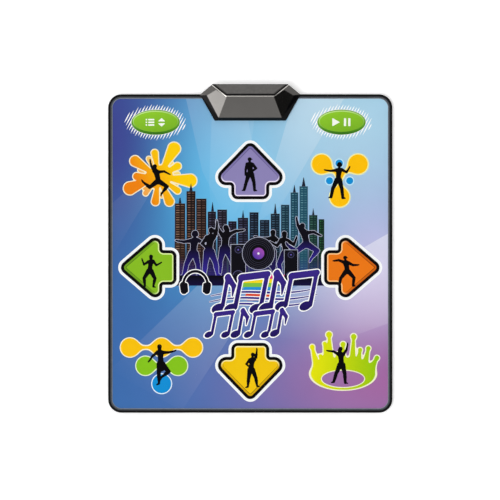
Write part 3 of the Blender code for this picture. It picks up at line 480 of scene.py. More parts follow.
def cutByInks(outline, holes, inks, spacing, creases):
    # the outline's triangles, cut along every loop, and the numbers of those within each ink
    loops = [outline, *holes]
    barred = set(range(1, len(loops)))
    owner = {}
    for number, area in enumerate(inks):
        owner.update({len(loops) + k: number for k in range(len(area["loops"]))})
        loops += area["loops"]
    points, spans = [], []
    for loop in loops + creases:
        loop = finer(anticlockwise(loop), spacing)
        spans.append(list(range(len(points), len(points) + len(loop))))
        points += loop
    points += staggered(np.min(outline, 0), np.max(outline, 0), spacing)
    made = delaunay_2d_cdt([Vector(p) for p in points], [], spans, 1, snap["ink"], True)
    triangles, within = [], [[] for _ in inks]
    for corners, parents in zip(made[2], made[5]):
        if 0 not in parents or barred.intersection(parents) or len(corners) != 3:
            continue
        for parent in set(parents) & owner.keys():
            within[owner[parent]].append(len(triangles))
        triangles.append(corners)
    return np.array([(p[0], p[1]) for p in made[0]]), np.array(triangles), within


def overprint(inks, within, corners):
    # the colour at each corner of the triangles, with the inks laid one over another
    colour = np.zeros((len(corners), 4))
    for area, inArea in zip(inks, within):
        found, times = np.unique(np.array(inArea, int), return_counts=True)
        at = (found[times % 2 == 1][:, None] * 3 + np.arange(3)).ravel()
        low, high = area["span"]
        t = np.clip((corners[at] @ area["along"] - low) / max(high - low, 1e-9), 0, 1)[:, None]
        tint = np.array(area["from"]) * (1 - t) + np.array(area["to"]) * t
        cover = area["cover"] * (1 - t) + area["fade"] * t
        left = colour[at, 3:] * (1 - cover)
        total = cover + left
        blended = (tint * cover + colour[at, :3] * left) / np.maximum(total, bareCover)
        colour[at] = np.hstack([np.where(total > bareCover, blended, tint), total])
    return colour


def printedSheet(name, outline, holes, inks, spacing, top, creases=()):
    # a closed printed sheet: top gives its height at x and y, and creases are loops that shape it
    places, triangles, within = cutByInks(outline, holes, inks, spacing, list(creases))
    colour = overprint(inks, within, places[triangles.ravel()])
    edges = {}  # each edge's two corners in the colour list
    for number, corners in enumerate(triangles.tolist()):
        for k, m in ((0, 1), (1, 2), (2, 0)):
            edges[corners[k], corners[m]] = (number * 3 + k, number * 3 + m)
    rim = {a: b for a, b in edges if (b, a) not in edges}
    lower = {a: len(places) + k for k, a in enumerate(rim)}
    vertices = np.column_stack([places, top(places[:, 0], places[:, 1])]).tolist()
    vertices += [(*places[a], layers["coverUnder"]) for a in rim]
    walls = [(a, lower[a], lower[b], b) for a, b in rim.items()]
    wallCorners = [corner for edge in rim.items() for corner in np.repeat(edges[edge], 2)]

    rimLoops, left = [], set(rim)
    while left:
        loop, here = [], min(left)
        while here in left:
            left.discard(here)
            loop.append(here)
            here = rim[here]
        rimLoops.append(loop)
    rimLoops.sort(key=lambda loop: -signedArea(places[loop].tolist()))  # the outer loop first
    rimPoints = [a for loop in rimLoops for a in loop]
    base = fill([places[loop].tolist() for loop in rimLoops], snap["underside"])
    base = [tuple(lower[rimPoints[k]] for k in reversed(corners)) for corners in base]

    underside = np.tile(undersideInk, (len(base) * 3, 1))
    values = np.vstack([colour, colour[wallCorners], underside])  # the print runs down the cut edges
    faces = triangles.tolist() + walls + base
    smooth = np.arange(len(faces)) < len(triangles)
    print(f"{name}: {len(triangles)} printed faces from {len(inks)} inks")
    return newPiece(name, vertices, faces, [printedVinyl], smooth, inks=values, sharp=True)


tallArrow = {"tip": 0.131, "halfBase": 0.127, "halfStem": 0.0553, "stem": 0.041,
             "tipRadius": 0.019, "baseRadius": 0.024, "endRadius": 0.0185, "notchRadius": 0.004}
wideArrow = {"tip": 0.1305, "halfBase": 0.112, "halfStem": 0.0505, "stem": 0.0415,
             "tipRadius": 0.019, "baseRadius": 0.0213, "endRadius": 0.0175, "notchRadius": 0.004}
ovalButton = {"half": (0.0705, 0.0365)}
buttonSigns = {
    # a list with its marks, and two pointers for choosing
    "choose": [bar(x0, y, x1, y + 0.0045) for x0, x1 in ((-0.029, -0.0245), (-0.0215, -0.0035))
               for y in (0.0055, -0.0022, -0.0100)]
              + [roundedPolygon(corners, [0.0012] * 3, steps=4) for corners in (
                  [(0.0060, 0.0025), (0.0290, 0.0025), (0.0175, 0.0125)],
                  [(0.0060, -0.0025), (0.0175, -0.0125), (0.0290, -0.0025)])],
    # a play triangle and a pause sign
    "go": [roundedPolygon([(-0.0270, -0.0125), (-0.0045, 0.0), (-0.0270, 0.0125)], [0.0014] * 3, steps=4),
           bar(0.0070, -0.0115, 0.0135, 0.0115), bar(0.0195, -0.0115, 0.0260, 0.0115)],
}
pads = {
    # an arrow's colours: its face, the lit edge, the dim edge and the shadow line
    "up_arrow": {"shape": arrowShape, "size": tallArrow, "at": (0.0, 0.1994), "turns": 0,
        "slot": "purple_print", "colours": ("#8d84b6", "#efe4f8", "#7d74aa", "#5c5284")},
    "down_arrow": {"shape": arrowShape, "size": tallArrow, "at": (0.0, -0.3022), "turns": 2,
        "slot": "yellow_print", "colours": ("#f4c70d", "#fff3a8", "#d9a90c", "#8f6c08")},
    "left_arrow": {"shape": arrowShape, "size": wideArrow, "at": (-0.257, -0.041), "turns": 1,
        "slot": "green_print", "colours": ("#88bd24", "#dff2a0", "#6f9f22", "#48701a")},
    "right_arrow": {"shape": arrowShape, "size": wideArrow, "at": (0.257, -0.041), "turns": 3,
        "slot": "orange_print", "colours": ("#ec7816", "#ffc98a", "#c85f12", "#8a3d0c")},
    "select": {"shape": ovalShape, "size": ovalButton, "at": (-0.2764, 0.3830), "sign": "choose",
        "slot": "green_print"},
    "start": {"shape": ovalShape, "size": ovalButton, "at": (0.2665, 0.3834), "sign": "go",
        "slot": "green_print"},
    "rear_left_corner": {"shape": lobedShape, "at": (-0.269, 0.226), "slot": "amber_print",
        "size": {"lobes": 8, "half": (0.088, 0.081), "swell": 0.006, "turn": 0, "points": 12}},
    "rear_right_corner": {"shape": lobedShape, "at": (0.261, 0.213), "slot": "yellow_print",
        "size": {"lobes": 4, "half": (0.072, 0.067), "swell": 0.009, "turn": 45, "points": 18}},
    "front_left_corner": {"shape": lobedShape, "at": (-0.259, -0.328), "slot": "leaf_print",
        "size": {"lobes": 3, "half": (0.098, 0.070), "swell": 0.012, "turn": 90, "points": 22}},
    "front_right_corner": {"shape": lobedShape, "at": (0.272, -0.314), "slot": "lime_print",
        "size": {"lobes": 12, "half": (0.092, 0.081), "swell": 0.003, "turn": 15, "points": 8}},
}
arrowPads = [pad for pad in pads.values() if pad["shape"] is arrowShape]
cornerPads = [name for name, pad in pads.items() if pad["shape"] is lobedShape]


def padLoop(pad, grow=0.0):
    return placed(pad["shape"](pad["size"], grow), pad["at"], pad.get("turns", 0))


body = {
    # lengths of a dancer's parts, as shares of the height
    "thigh": 0.235, "shin": 0.225, "heel": 0.012, "foot": 0.062, "upperArm": 0.145, "foreArm": 0.130,
    "hand": 0.042, "waist": 0.095, "chest": 0.155, "neck": 0.085, "head": 0.052, "crown": 0.024,
    "shoulders": 0.076, "shoulderRise": 0.020, "hips": 0.042, "hipDrop": 0.004, "skirt": 0.085,
    # radii from one end of a part to the other; the calf ends at a share of the shin
    "armRadii": (0.036, 0.026, 0.018, 0.015), "thighRadii": (0.060, 0.040), "calfRadii": (0.038, 0.039),
    "calfEnd": 0.32, "ankleRadius": 0.020, "footRadii": (0.024, 0.014), "skirtRadii": (0.062, 0.086),
    "trunkRadii": (0.064, 0.050, 0.068), "shoulderRadius": 0.046, "neckRadii": (0.040, 0.024),
    "skullRadii": (0.044, 0.049),
    "bends": [("waist", 0.4), ("chest", 1.0), ("neck", 0.8)],  # each part's share of the lean
    "handTurn": 8,  # how far a hand turns outwards, in degrees
    # how stout it is, and how softly its arms and legs, its trunk, its head and all of them melt together
    "bulk": 1.17, "limbBlend": 0.010, "trunkBlend": 0.030, "skullBlend": 0.014,
    # how far it may reach sideways, down and up, and how many steps its height has in the marching
    "reach": (0.72, 0.66, 0.80), "steps": 104,
}


def stepFrom(point, angle, length):
    # angles in degrees, 0 straight down and growing anticlockwise
    a = math.radians(angle)
    return point[0] + length * math.sin(a), point[1] - length * math.cos(a)


def armBones(pose, shoulder, angles, side):
    sleeve, (top, middle, low, tip) = pose.get("sleeve", 0.0), body["armRadii"]
    elbow = stepFrom(shoulder, angles[0], body["upperArm"])
    wrist = stepFrom(elbow, angles[1], body["foreArm"])
    fingers = stepFrom(wrist, angles[1] + side * body["handTurn"], body["hand"])
    return [(shoulder, elbow, top + sleeve, middle + sleeve), (elbow, wrist, middle + sleeve, low + sleeve),
            (wrist, fingers, low, tip)]


def legBones(pose, joint, angles):
    knee = stepFrom(joint, angles[0], body["thigh"])
    calf, ankle = [stepFrom(knee, angles[1], body["shin"] * share) for share in (body["calfEnd"], 1.0)]
    heel, toes = [stepFrom(ankle, angles[2], body[end]) for end in ("heel", "foot")]
    return [(joint, knee, *body["thighRadii"]), (knee, calf, *body["calfRadii"]),
            (calf, ankle, body["calfRadii"][1], pose.get("cuff", body["ankleRadius"])),
            (heel, toes, *body["footRadii"])]


def dancerField(pose, at, height, flip=1):
    # a dancer's outline as a melted field, with the hips at a place; flip is -1 for the mirrored pose
    lean, nod, turn, girth = pose["lean"], pose["nod"], pose.get("turn", 1.0), pose.get("girth", 1.0)
    bends = [(part, lean * share) for part, share in body["bends"]]
    spine = [(0.0, 0.0)]
    for part, angle in bends + [("head", nod), ("crown", nod)]:
        spine.append(stepFrom(spine[-1], 180 + angle, body[part]))
    hip, waist, chest, neck, head, crown = spine
    low, middle, high = body["trunkRadii"]
    trunk = [(hip, waist, low, middle * girth), (waist, chest, middle * girth, high * girth),
             (chest, neck, *body["neckRadii"])]
    skull = [(head, crown, *body["skullRadii"])]
    for start, end, startRadius, endRadius in pose["hair"]:
        skull.append((*[(head[0] + x, head[1] + y) for x, y in (start, end)], startRadius, endRadius))
    tilt, limbs = math.radians(pose.get("tilt", 0) + lean), []
    shoulderY, armTop = chest[1] + body["shoulderRise"], body["armRadii"][0] + pose.get("sleeve", 0.0)
    for side, arm, leg in zip((-1, 1), pose["arms"], pose["legs"]):
        reach = side * body["shoulders"] * turn
        shoulder = (chest[0] + reach * math.cos(tilt), shoulderY - reach * math.sin(tilt))
        trunk.append((chest, shoulder, body["shoulderRadius"], armTop))
        limbs.append(armBones(pose, shoulder, arm, side))
        limbs.append(legBones(pose, (side * body["hips"] * turn, -body["hipDrop"]), leg))
    if "skirt" in pose:
        trunk.append((hip, stepFrom(hip, pose["skirt"], body["skirt"]), *body["skirtRadii"]))
    groups = [(limb, body["bulk"], body["limbBlend"]) for limb in limbs]
    groups += [(trunk, body["bulk"], body["trunkBlend"]), (skull, 1.0, body["skullBlend"])]
    parts = [drawing([(a, b, first * bulk, last * bulk) for a, b, first, last in bones], blend)
             for bones, bulk, blend in groups]
    return drawing(parts, body["skullBlend"], at, height, flip=flip)


def dancerBox(at, height):
    return around(at, *[share * height for share in body["reach"]])


# hair and hats, as limbs from the middle of the head
bob = [((0.0, 0.018), (-0.004, -0.026), 0.054, 0.046)]
ponytail = [((0.0, 0.026), (0.045, 0.022), 0.050, 0.026), ((0.045, 0.022), (0.105, -0.030), 0.024, 0.020),
            ((0.105, -0.030), (0.120, -0.085), 0.020, 0.006)]
cap = [((-0.004, 0.034), (0.012, 0.036), 0.047, 0.044), ((0.02, 0.030), (0.078, 0.020), 0.018, 0.009)]
puff = [((0.0, 0.022), (0.0, 0.026), 0.066, 0.064), ((-0.034, 0.004), (-0.036, 0.000), 0.036, 0.034),
        ((0.034, 0.006), (0.036, 0.002), 0.036, 0.034)]
longHair = [((0.0, 0.024), (-0.030, -0.020), 0.052, 0.040),
            ((-0.030, -0.020), (-0.055, -0.115), 0.040, 0.012)]
poses = {
    # joints in degrees, left then right, then the dancer's height and the hips' place from the pad's middle
    "up_arrow": {"lean": 3, "nod": 6, "arms": [(-16, -4), (42, -52)],
        "legs": [(-17, -15, -70), (15, 5, 75)], "hair": cap, "cuff": 0.034, "girth": 1.12, "sleeve": 0.005,
        "tall": 0.104, "hips": (0.0, 0.033)},
    "down_arrow": {"lean": -7, "nod": -9, "arms": [(-38, 44), (158, 176)],
        "legs": [(-9, -5, -70), (22, 9, 75)], "hair": ponytail, "cuff": 0.022, "tilt": 6, "turn": 0.85,
        "tall": 0.108, "hips": (0.003, -0.037)},
    "left_arrow": {"lean": -8, "nod": 4, "arms": [(-58, -158), (36, 118)],
        "legs": [(-32, 6, -80), (26, -12, 70)], "hair": bob, "cuff": 0.024, "girth": 0.95, "turn": 0.9,
        "tall": 0.104, "hips": (-0.036, -0.010)},
    "right_arrow": {"lean": 10, "nod": 16, "arms": [(-112, -82), (64, 92)],
        "legs": [(-38, -12, -80), (42, -6, 75)], "hair": cap, "cuff": 0.034, "girth": 1.1, "sleeve": 0.005,
        "tall": 0.100, "hips": (0.026, -0.012)},
    "rear_left_corner": {"lean": 14, "nod": 22, "arms": [(-150, -168), (96, 62)],
        "legs": [(-52, -128, -150), (58, -38, -20)], "hair": longHair, "turn": 0.8, "tall": 0.112,
        "hips": (0.0, -0.016)},
    "rear_right_corner": {"lean": -6, "nod": -8, "arms": [(-82, -98), (62, 148)],
        "legs": [(-26, -12, -70), (14, 6, 75)], "hair": puff, "cuff": 0.034, "turn": 0.9, "tall": 0.112,
        "hips": (-0.004, 0.001)},
    "front_left_corner": {"lean": 5, "nod": 8, "arms": [(-52, -34), (92, 104)],
        "legs": [(-4, 2, -60), (40, -52, -20)], "hair": bob, "skirt": 4, "turn": 0.8, "tall": 0.124,
        "hips": (-0.002, 0.006)},
    "front_right_corner": {"lean": 4, "nod": 2, "arms": [(-118, -96), (146, 168)],
        "legs": [(-24, -16, -70), (13, 3, 75)], "hair": longHair, "cuff": 0.030, "turn": 0.85,
        "tall": 0.114, "hips": (-0.006, -0.011)},
}


def padDancer(name):
    pose = poses[name]
    at = (pads[name]["at"][0] + pose["hips"][0], pads[name]["at"][1] + pose["hips"][1])
    tall = pose["tall"]
    return ink(contours(dancerField(pose, at, tall), dancerBox(at, tall), tall / body["steps"]), "#050407")


sky = {
    "base": "#3a72b3",
    # centre x, centre y, reach x, reach y, colour
    "glows": [(-0.093, 0.214, 0.331, 0.281, "#43bff2"), (0.302, 0.392, 0.390, 0.387, "#abd4e9"),
              (0.369, -0.117, 0.190, 0.274, "#cbc4eb"), (0.413, -0.376, 0.417, 0.213, "#a46aa3"),
              (-0.406, 0.346, 0.208, 0.504, "#3f4892")],
    # faint shafts of light: corners, fading direction, cover at the start and at the end
    "shafts": [([(-0.19, 0.463), (-0.02, 0.463), (0.02, 0.25), (-0.06, 0.08), (-0.14, 0.24)],
                (0.0, -1.0), 0.09, 0.0),
               ([(-0.11, 0.463), (0.02, 0.463), (-0.02, 0.12), (-0.10, -0.02), (-0.12, 0.20)],
                (0.0, -1.0), 0.07, 0.0),
               ([(0.13, 0.463), (0.28, 0.463), (0.09, 0.14), (0.02, 0.09)], (0.0, -1.0), 0.20, 0.03),
               ([(-0.05, 0.463), (-0.12, 0.463), (-0.41, -0.02), (-0.41, 0.14)], (-0.5, -0.86), 0.09, 0.0),
               ([(-0.14, -0.08), (0.02, -0.12), (-0.20, -0.46), (-0.41, -0.34)], (-0.6, -0.8), 0.12, 0.0),
               ([(0.4138, 0.065), (0.12, -0.105), (0.04, -0.235), (0.22, -0.270), (0.4138, -0.20)],
                (-0.15, -1.0), 0.40, 0.0)],
}


def lightShafts():
    return [ink(corners, "#ffffff", along=along, cover=first, fade=last)
            for corners, along, first, last in sky["shafts"]]


hatch = {"reach": (0.0215, 0.0160), "pitch": 0.0076, "width": 0.0036, "slant": 62.0, "edge": 0.0016,
         "strokes": 14, "uneven": (1.0, 0.82, 0.94, 0.76), "shortest": 0.006,
         # a stroke is full at the button: where its belly is, and its share of the width there and at the end
         "belly": (0.45, 0.85), "end": 0.16,
         # a stroke beside the button: places from its middle, and shares of the width
         "loose": ((-1, 0.15), (-0.4, 0.9), (0.4, 0.9), (1, 0.15))}


def buttonHatch(pad):
    # white slanted strokes round a button, wide at the button and pointed outside
    c, s = math.cos(math.radians(hatch["slant"])), math.sin(math.radians(hatch["slant"]))
    at, half, (way, belly) = pad["at"], pad["size"]["half"], hatch["belly"]

    def crossings(offset, a, b):
        # where the stroke's line meets an oval
        p, q = (c / a) ** 2 + (s / b) ** 2, 2 * offset * c * s * (1 / b ** 2 - 1 / a ** 2)
        left = q * q - 4 * p * ((offset * s / a) ** 2 + (offset * c / b) ** 2 - 1)
        return [(-q + sign * math.sqrt(left)) / (2 * p) for sign in (-1, 1)] if left > 0 else None

    def stroke(offset, stations):
        # stations are distances along the line, each with its share of the width
        one, other = [[(t, offset + side * hatch["width"] / 2 * w) for t, w in stations] for side in (1, -1)]
        rim = one + other[::-1]
        return ink(anticlockwise([(at[0] + c * t - s * o, at[1] + s * t + c * o) for t, o in rim]), "#ffffff")
    areas = [ink(padLoop(pad, hatch["edge"]), "#ffffff", cover=0.8)]
    for number in range(-hatch["strokes"], hatch["strokes"]):
        offset = (number + 0.5) * hatch["pitch"]
        uneven = hatch["uneven"][number % len(hatch["uneven"])]
        inner = crossings(offset, *half)
        outer = crossings(offset, *[h + reach * uneven for h, reach in zip(half, hatch["reach"])])
        if outer and inner:
            for near, far in zip(inner, outer):
                stations = [(near, 1.0), (near + (far - near) * way, belly), (far, hatch["end"])]
                areas.append(stroke(offset, stations))
        elif outer and outer[1] - outer[0] > hatch["shortest"]:
            middle, reach = (outer[0] + outer[1]) / 2, (outer[1] - outer[0]) / 2
            areas.append(stroke(offset, [(middle + reach * k, w) for k, w in hatch["loose"]]))
    return areas


splash = {
    "at": (-0.268, 0.224), "core": ((-0.010, -0.004), (0.012, 0.005), 0.029, 0.029), "neck": 0.0038,
    "root": 0.018, "rim": 0.0030, "blend": 0.0045, "step": 0.0021, "along": (0.85, 0.5),
    "fade": (-0.06, 0.05), "reach": (0.125, 0.115),
    # arms that widen to their ends: direction, reach and end radius; the small ones lie under the large
    "small": [(8, 0.063, 0.0062), (118, 0.066, 0.0066), (160, 0.063, 0.0060), (-128, 0.068, 0.0072),
              (-20, 0.062, 0.0056), (46, 0.060, 0.0056), (-142, 0.058, 0.0052), (-80, 0.062, 0.0060)],
    "large": [(61, 0.112, 0.0182), (-7, 0.112, 0.0186), (-158, 0.108, 0.0184), (146, 0.097, 0.0150),
              (-66, 0.092, 0.0132), (-97, 0.084, 0.0112), (29, 0.074, 0.0106), (179, 0.074, 0.0106),
              (99, 0.080, 0.0098), (-36, 0.078, 0.0092)],
}


def paintSplash():
    # a burst of paint whose arms end in drops
    at, areas = splash["at"], []
    middle = at[0] * splash["along"][0] + at[1] * splash["along"][1]
    span = [middle + shift for shift in splash["fade"]]
    for arms, first, last in (("small", "#f3a44a", "#fbdc7a"), ("large", "#f0820f", "#ffcf06")):
        shapes = [splash["core"]]
        for angle, reach, drop in splash[arms]:
            turn = math.radians(angle)
            root, end = [(math.cos(turn) * r, math.sin(turn) * r) for r in (splash["root"], reach - drop)]
            shapes.append((root, end, splash["neck"], drop))
        areas += rimmed(drawing(shapes, splash["blend"], at), around(at, *splash["reach"]), splash["step"],
                        "#f8eec8", splash["rim"], first, to=last, along=splash["along"], span=span)
    return areas


discArt = {
    "step": 0.0026, "margin": 0.012,
    # discs joined by necks, to a hub or each to the next; the colours are the face's and the rim's
    "usual": {"radius": 0.0272, "neck": 0.0035, "rim": 0.0028, "blend": 0.020},
    "yellow": {"discs": [(0.2086, 0.2608), (0.3147, 0.2608), (0.2612, 0.165)], "hub": (0.2612, 0.228),
        "colours": ("#ffc107", "#f6f3a4"), "radius": 0.0284, "neck": 0.003, "rim": 0.0036, "blend": 0.017},
    "amber": {"discs": [(-0.3511, -0.2745), (-0.2586, -0.2745), (-0.1672, -0.2745)],
        "colours": ("#fbc30a", "#fbf3d0")},
    "green": {"discs": [(-0.3059, -0.3279), (-0.2110, -0.3279)], "colours": ("#86c51d", "#e8f6c8")},
    "blue": {"discs": [(-0.2586, -0.3802)], "colours": ("#128fd6", "#e4f3fb"), "radius": 0.0278},
    # small discs over the yellow ones: middle and radius
    "dots": [((0.2314, 0.2123), 0.0104), ((0.2904, 0.2123), 0.0102), ((0.2597, 0.2634), 0.0108)],
    "dotRim": 0.0032, "dotColours": ("#128fd6", "#bde9fb"),
}


def linkedDiscs(name):
    group = {**discArt["usual"], **discArt[name]}
    discs, hub, reach = group["discs"], group.get("hub"), group["radius"] + discArt["margin"]
    necks = [(at, hub) for at in discs] if hub else zip(discs, discs[1:])
    shapes = [blob(at, group["radius"]) for at in discs]
    shapes += [(a, b, group["neck"], group["neck"]) for a, b in necks]
    corners = np.min(discs, 0) - reach, np.max(discs, 0) + reach
    colour, rim = group["colours"]
    return rimmed(drawing(shapes, group["blend"]), corners, discArt["step"], rim, group["rim"], colour)


crownSplash = {
    "at": (0.271, -0.345), "bowl": (0.094, 0.047), "opening": (0.0625, 0.0248), "rim": 0.0030,
    "pale": "#f6f3cf", "foot": 0.0105, "top": 0.0036, "blend": 0.008, "step": 0.0022,
    "reach": (0.13, 0.08, 0.13), "bowlDrop": 0.006, "openingDrop": 0.021, "line": (0.0018, -0.0008),
    # a spike's root as a share of its tip's x, and its height, and how softly its drop melts on
    "rootShare": 0.84, "rootUp": 0.012, "dropBlend": 0.004,
    # each spike's tip and the radius of its drop
    "spikes": [(-0.090, 0.072, 0.0070), (-0.066, 0.046, 0.0046), (-0.041, 0.108, 0.0088),
               (-0.054, 0.082, 0.0050), (-0.016, 0.052, 0.0046), (0.000, 0.080, 0.0074),
               (0.031, 0.102, 0.0082), (0.050, 0.064, 0.0056), (0.074, 0.068, 0.0064),
               (0.099, 0.040, 0.0068)],
}


def splashCrown():
    # a ring of liquid that rises in drops, seen a little from above
    at, (wide, deep), pale = crownSplash["at"], crownSplash["bowl"], crownSplash["pale"]

    def bowl(u, v):
        return (np.hypot(u / wide, (v + crownSplash["bowlDrop"]) / deep) - 1) * deep

    def opening(grow):
        middle = (at[0], at[1] - crownSplash["openingDrop"])
        return oval(middle, [half + grow for half in crownSplash["opening"]], 72)
    shapes = [bowl]
    for x, y, radius in crownSplash["spikes"]:
        root = (x * crownSplash["rootShare"], crownSplash["rootUp"])
        spike = (root, (x, y), crownSplash["foot"], crownSplash["top"])
        shapes.append(drawing([spike, blob((x, y), radius)], crownSplash["dropBlend"]))
    art = rimmed(drawing(shapes, crownSplash["blend"], at), around(at, *crownSplash["reach"]),
                 crownSplash["step"], pale, crownSplash["rim"], "#e9e60a", [opening(0.0)], to="#8fc60f",
                 along=(1.0, 0.0))
    return art + [ink([opening(grow) for grow in crownSplash["line"]], pale)]


def cornerArt():
    # the four corner designs, each under its dancer
    art = paintSplash() + linkedDiscs("yellow")
    for at, radius in discArt["dots"]:
        colour, rim = discArt["dotColours"]
        art += [ink(disc(at, radius + discArt["dotRim"]), rim), ink(disc(at, radius), colour)]
    return art + linkedDiscs("amber") + linkedDiscs("green") + linkedDiscs("blue") + splashCrown()


levels = {
    "foot": -0.088, "lamp": 0.0024, "step": 0.0070, "lowest": 0.012, "side": 0.0034, "edge": 0.0008,
    "haze": "#3a2f92", "hazeSpan": (-0.13, -0.01),
    # where a row's left lamp ends and its right one starts, as shares of the column's width
    "split": (0.44, 0.58),
    # how bright the rows of lamps are by turns, those near the foot, and the right one of each pair
    "lit": (0.52, 0.22, 0.38), "dim": 0.4, "right": 0.5,
    # columns of a sound meter, left to right: x, width, top, colour, lamp colour
    "columns": [(-0.220, 0.030, 0.146, "#2b1c17", "#c79a80"), (-0.186, 0.026, 0.182, "#1d1413", "#b98a74"),
                (-0.158, 0.030, 0.160, "#251917", "#a98274"), (-0.124, 0.024, 0.122, "#17141c", "#6e6a8c"),
                (-0.096, 0.028, 0.128, "#1c1820", "#7c7896"), (-0.064, 0.024, 0.094, "#15131d", "#6a6894"),
                (-0.036, 0.030, 0.104, "#191722", "#6c74a0"), (-0.002, 0.026, 0.120, "#141a26", "#5c7ea4"),
                (0.028, 0.028, 0.098, "#161d29", "#5f86a8"), (0.060, 0.026, 0.116, "#14202c", "#5f8fae"),
                (0.090, 0.024, 0.142, "#193443", "#6fa9bd"), (0.118, 0.022, 0.178, "#1d4456", "#79b7c8"),
                (0.144, 0.024, 0.196, "#214e60", "#84c2d0"), (0.172, 0.024, 0.112, "#16302e", "#5f9a83"),
                (0.200, 0.016, 0.100, "#12281f", "#3f9a4e")],
    # thin peak markers over some columns: x, foot, top and half width, and their flare at foot and top
    "flare": (3.6, 0.4),
    "peaks": [(-0.205, 0.146, 0.168, 0.0012), (-0.173, 0.182, 0.204, 0.0014), (-0.110, 0.122, 0.150, 0.0012),
              (-0.021, 0.104, 0.126, 0.0010), (0.073, 0.116, 0.146, 0.0012), (0.129, 0.178, 0.200, 0.0012),
              (0.156, 0.196, 0.222, 0.0016), (0.184, 0.112, 0.132, 0.0010)],
}


def soundMeter():
    areas, foot, edge, side = [], levels["foot"], levels["edge"], levels["side"]
    for x, low, high, half in levels["peaks"]:
        wide, thin = [half * flare for flare in levels["flare"]]
        areas.append(ink([(x - wide, low), (x + wide, low), (x + thin, high), (x - thin, high)], "#1c2030"))
    for x, width, top, colour, glow in levels["columns"]:
        areas += [ink(rectangle(x - edge, foot, x + width + edge, top + edge), "#8d93a6", cover=0.4),
                  ink(rectangle(x, foot, x + width, top), levels["haze"], colour, span=levels["hazeSpan"])]
        y, row = top - levels["step"], 0
        while y > foot + levels["lowest"]:
            lit = levels["lit"][row % 3] * (levels["dim"] if y < 0.0 else 1.0)
            end, start = [x + width * share for share in levels["split"]]
            for x0, x1, share in (x + side, end, 1.0), (start, x + width - side, levels["right"]):
                areas.append(ink(rectangle(x0, y, x1, y + levels["lamp"]), glow, cover=lit * share))
            y, row = y - levels["step"], row + 1
    return areas


loudspeaker = {
    "places": [(-0.056, -0.088, -0.014, 0.026), (0.100, -0.088, 0.138, 0.010)], "edge": 0.0014,
    # the large cone and the small one: distance from the end and radius, in the cabinet's width
    "cones": ((0.52, 0.40), (-0.36, 0.24)),
    # a cone's rings: share of its radius, colour, corners
    "rings": [(1.0, "#5b5b86", 48), (0.90, "#15141f", 48), (0.62, "#2b2a44", 48), (0.56, "#0c0b12", 48),
              (0.24, "#6a5fc0", 24)],
}


def loudspeakers():
    # tall cabinets with a large and a small cone
    areas, edge = [], loudspeaker["edge"]
    for x0, y0, x1, y1 in loudspeaker["places"]:
        across, width = (x0 + x1) / 2, x1 - x0
        areas += [ink(rectangle(x0 - edge, y0, x1 + edge, y1 + edge), "#c9cde0", cover=0.85),
                  ink(rectangle(x0, y0, x1, y1), "#0d0c14")]
        for end, (shift, radius) in zip((y0, y1), loudspeaker["cones"]):
            areas += [ink(disc((across, end + width * shift), width * radius * share, points), colour)
                      for share, colour, points in loudspeaker["rings"]]
    return areas


record = {"at": (0.024, 0.000), "black": "#0b0a10", "grooves": (0.0430, 0.0376, 0.0322, 0.0268),
          "grooveWidth": 0.0010, "edge": 0.0480, "face": 0.0466, "label": 0.0170, "hole": 0.0034}


def recordDiscs():
    at, black = record["at"], record["black"]
    areas = [ink(disc(at, record["edge"], 72), "#b4b8ce"), ink(disc(at, record["face"], 72), black)]
    for radius in record["grooves"]:
        inner = radius - record["grooveWidth"]
        areas += [ink(disc(at, radius, 60), "#3c3c4e"), ink(disc(at, inner, 60), black)]
    areas.append(ink(disc(at, record["label"]), "#4d36a4", "#a24fb4", (0.6, 0.8)))
    return areas + [ink(disc(at, record["hole"], 20), "#e8e8f0")]


noteKinds = {
    # for a note one unit high: each head's place and radius, and the rest as limbs
    "pair": {"lean": 0.20, "blend": 0.02, "parts": [
        (-0.385, 0.118), ((-0.265, -0.40), (-0.265, 0.364), 0.054, 0.054),
        (0.255, 0.118), ((0.375, -0.40), (0.375, 0.4408), 0.054, 0.054),
        ((-0.26, 0.36), (0.37, 0.44), 0.088, 0.088)]},
    "single": {"lean": 0.18, "blend": 0.03, "parts": [
        (-0.12, 0.13), ((0.0, -0.40), (0.0, 0.48), 0.054, 0.054),
        ((0.0, 0.44), (0.21, 0.20), 0.085, 0.062), ((0.21, 0.20), (0.22, -0.08), 0.062, 0.016)]},
}


noteOval = {"drop": 0.42, "turn": (0.93, 0.36), "stretch": 1.3}


def noteHead(x, radius):
    # a stretched oval, tilted by the turn's cosine and sine
    c, s = noteOval["turn"]

    def field(u, v):
        a, b = u - x, v + noteOval["drop"]
        return np.hypot((c * a + s * b) / noteOval["stretch"], -s * a + c * b) - radius
    return field


def noteField(kind, at, size):
    shapes = [noteHead(*part) if len(part) == 2 else part for part in kind["parts"]]
    return drawing(shapes, kind["blend"], at, size, kind["lean"])


headset = {
    "at": (-0.160, -0.084), "size": 0.084, "reach": 0.060, "step": 0.0017, "edge": 0.0026, "blend": 0.02,
    # for one unit of size: the band's half width, half height and their mean, its drop, half its thickness
    # and where it ends
    "wide": 0.42, "tall": 0.46, "mean": 0.44, "drop": 0.08, "thick": 0.045, "end": 0.10,
    # the right cup and its cushion as limbs
    "ears": [((0.43, -0.10), (0.40, -0.30), 0.115), ((0.33, -0.08), (0.31, -0.30), 0.06)],
}


def headphones():
    at, reach = headset["at"], headset["reach"]

    def band(u, v):
        ring = np.hypot(u / headset["wide"], (v + headset["drop"]) / headset["tall"])
        return np.maximum(np.abs(ring - 1) * headset["mean"] - headset["thick"], -(v + headset["end"]))
    ears = [((side * a[0], a[1]), (side * b[0], b[1]), radius, radius)
            for a, b, radius in headset["ears"] for side in (-1, 1)]
    return rimmed(drawing([band] + ears, headset["blend"], at, headset["size"]), around(at, reach, reach),
                  headset["step"], "#ffffff", headset["edge"], "#0d0b14")


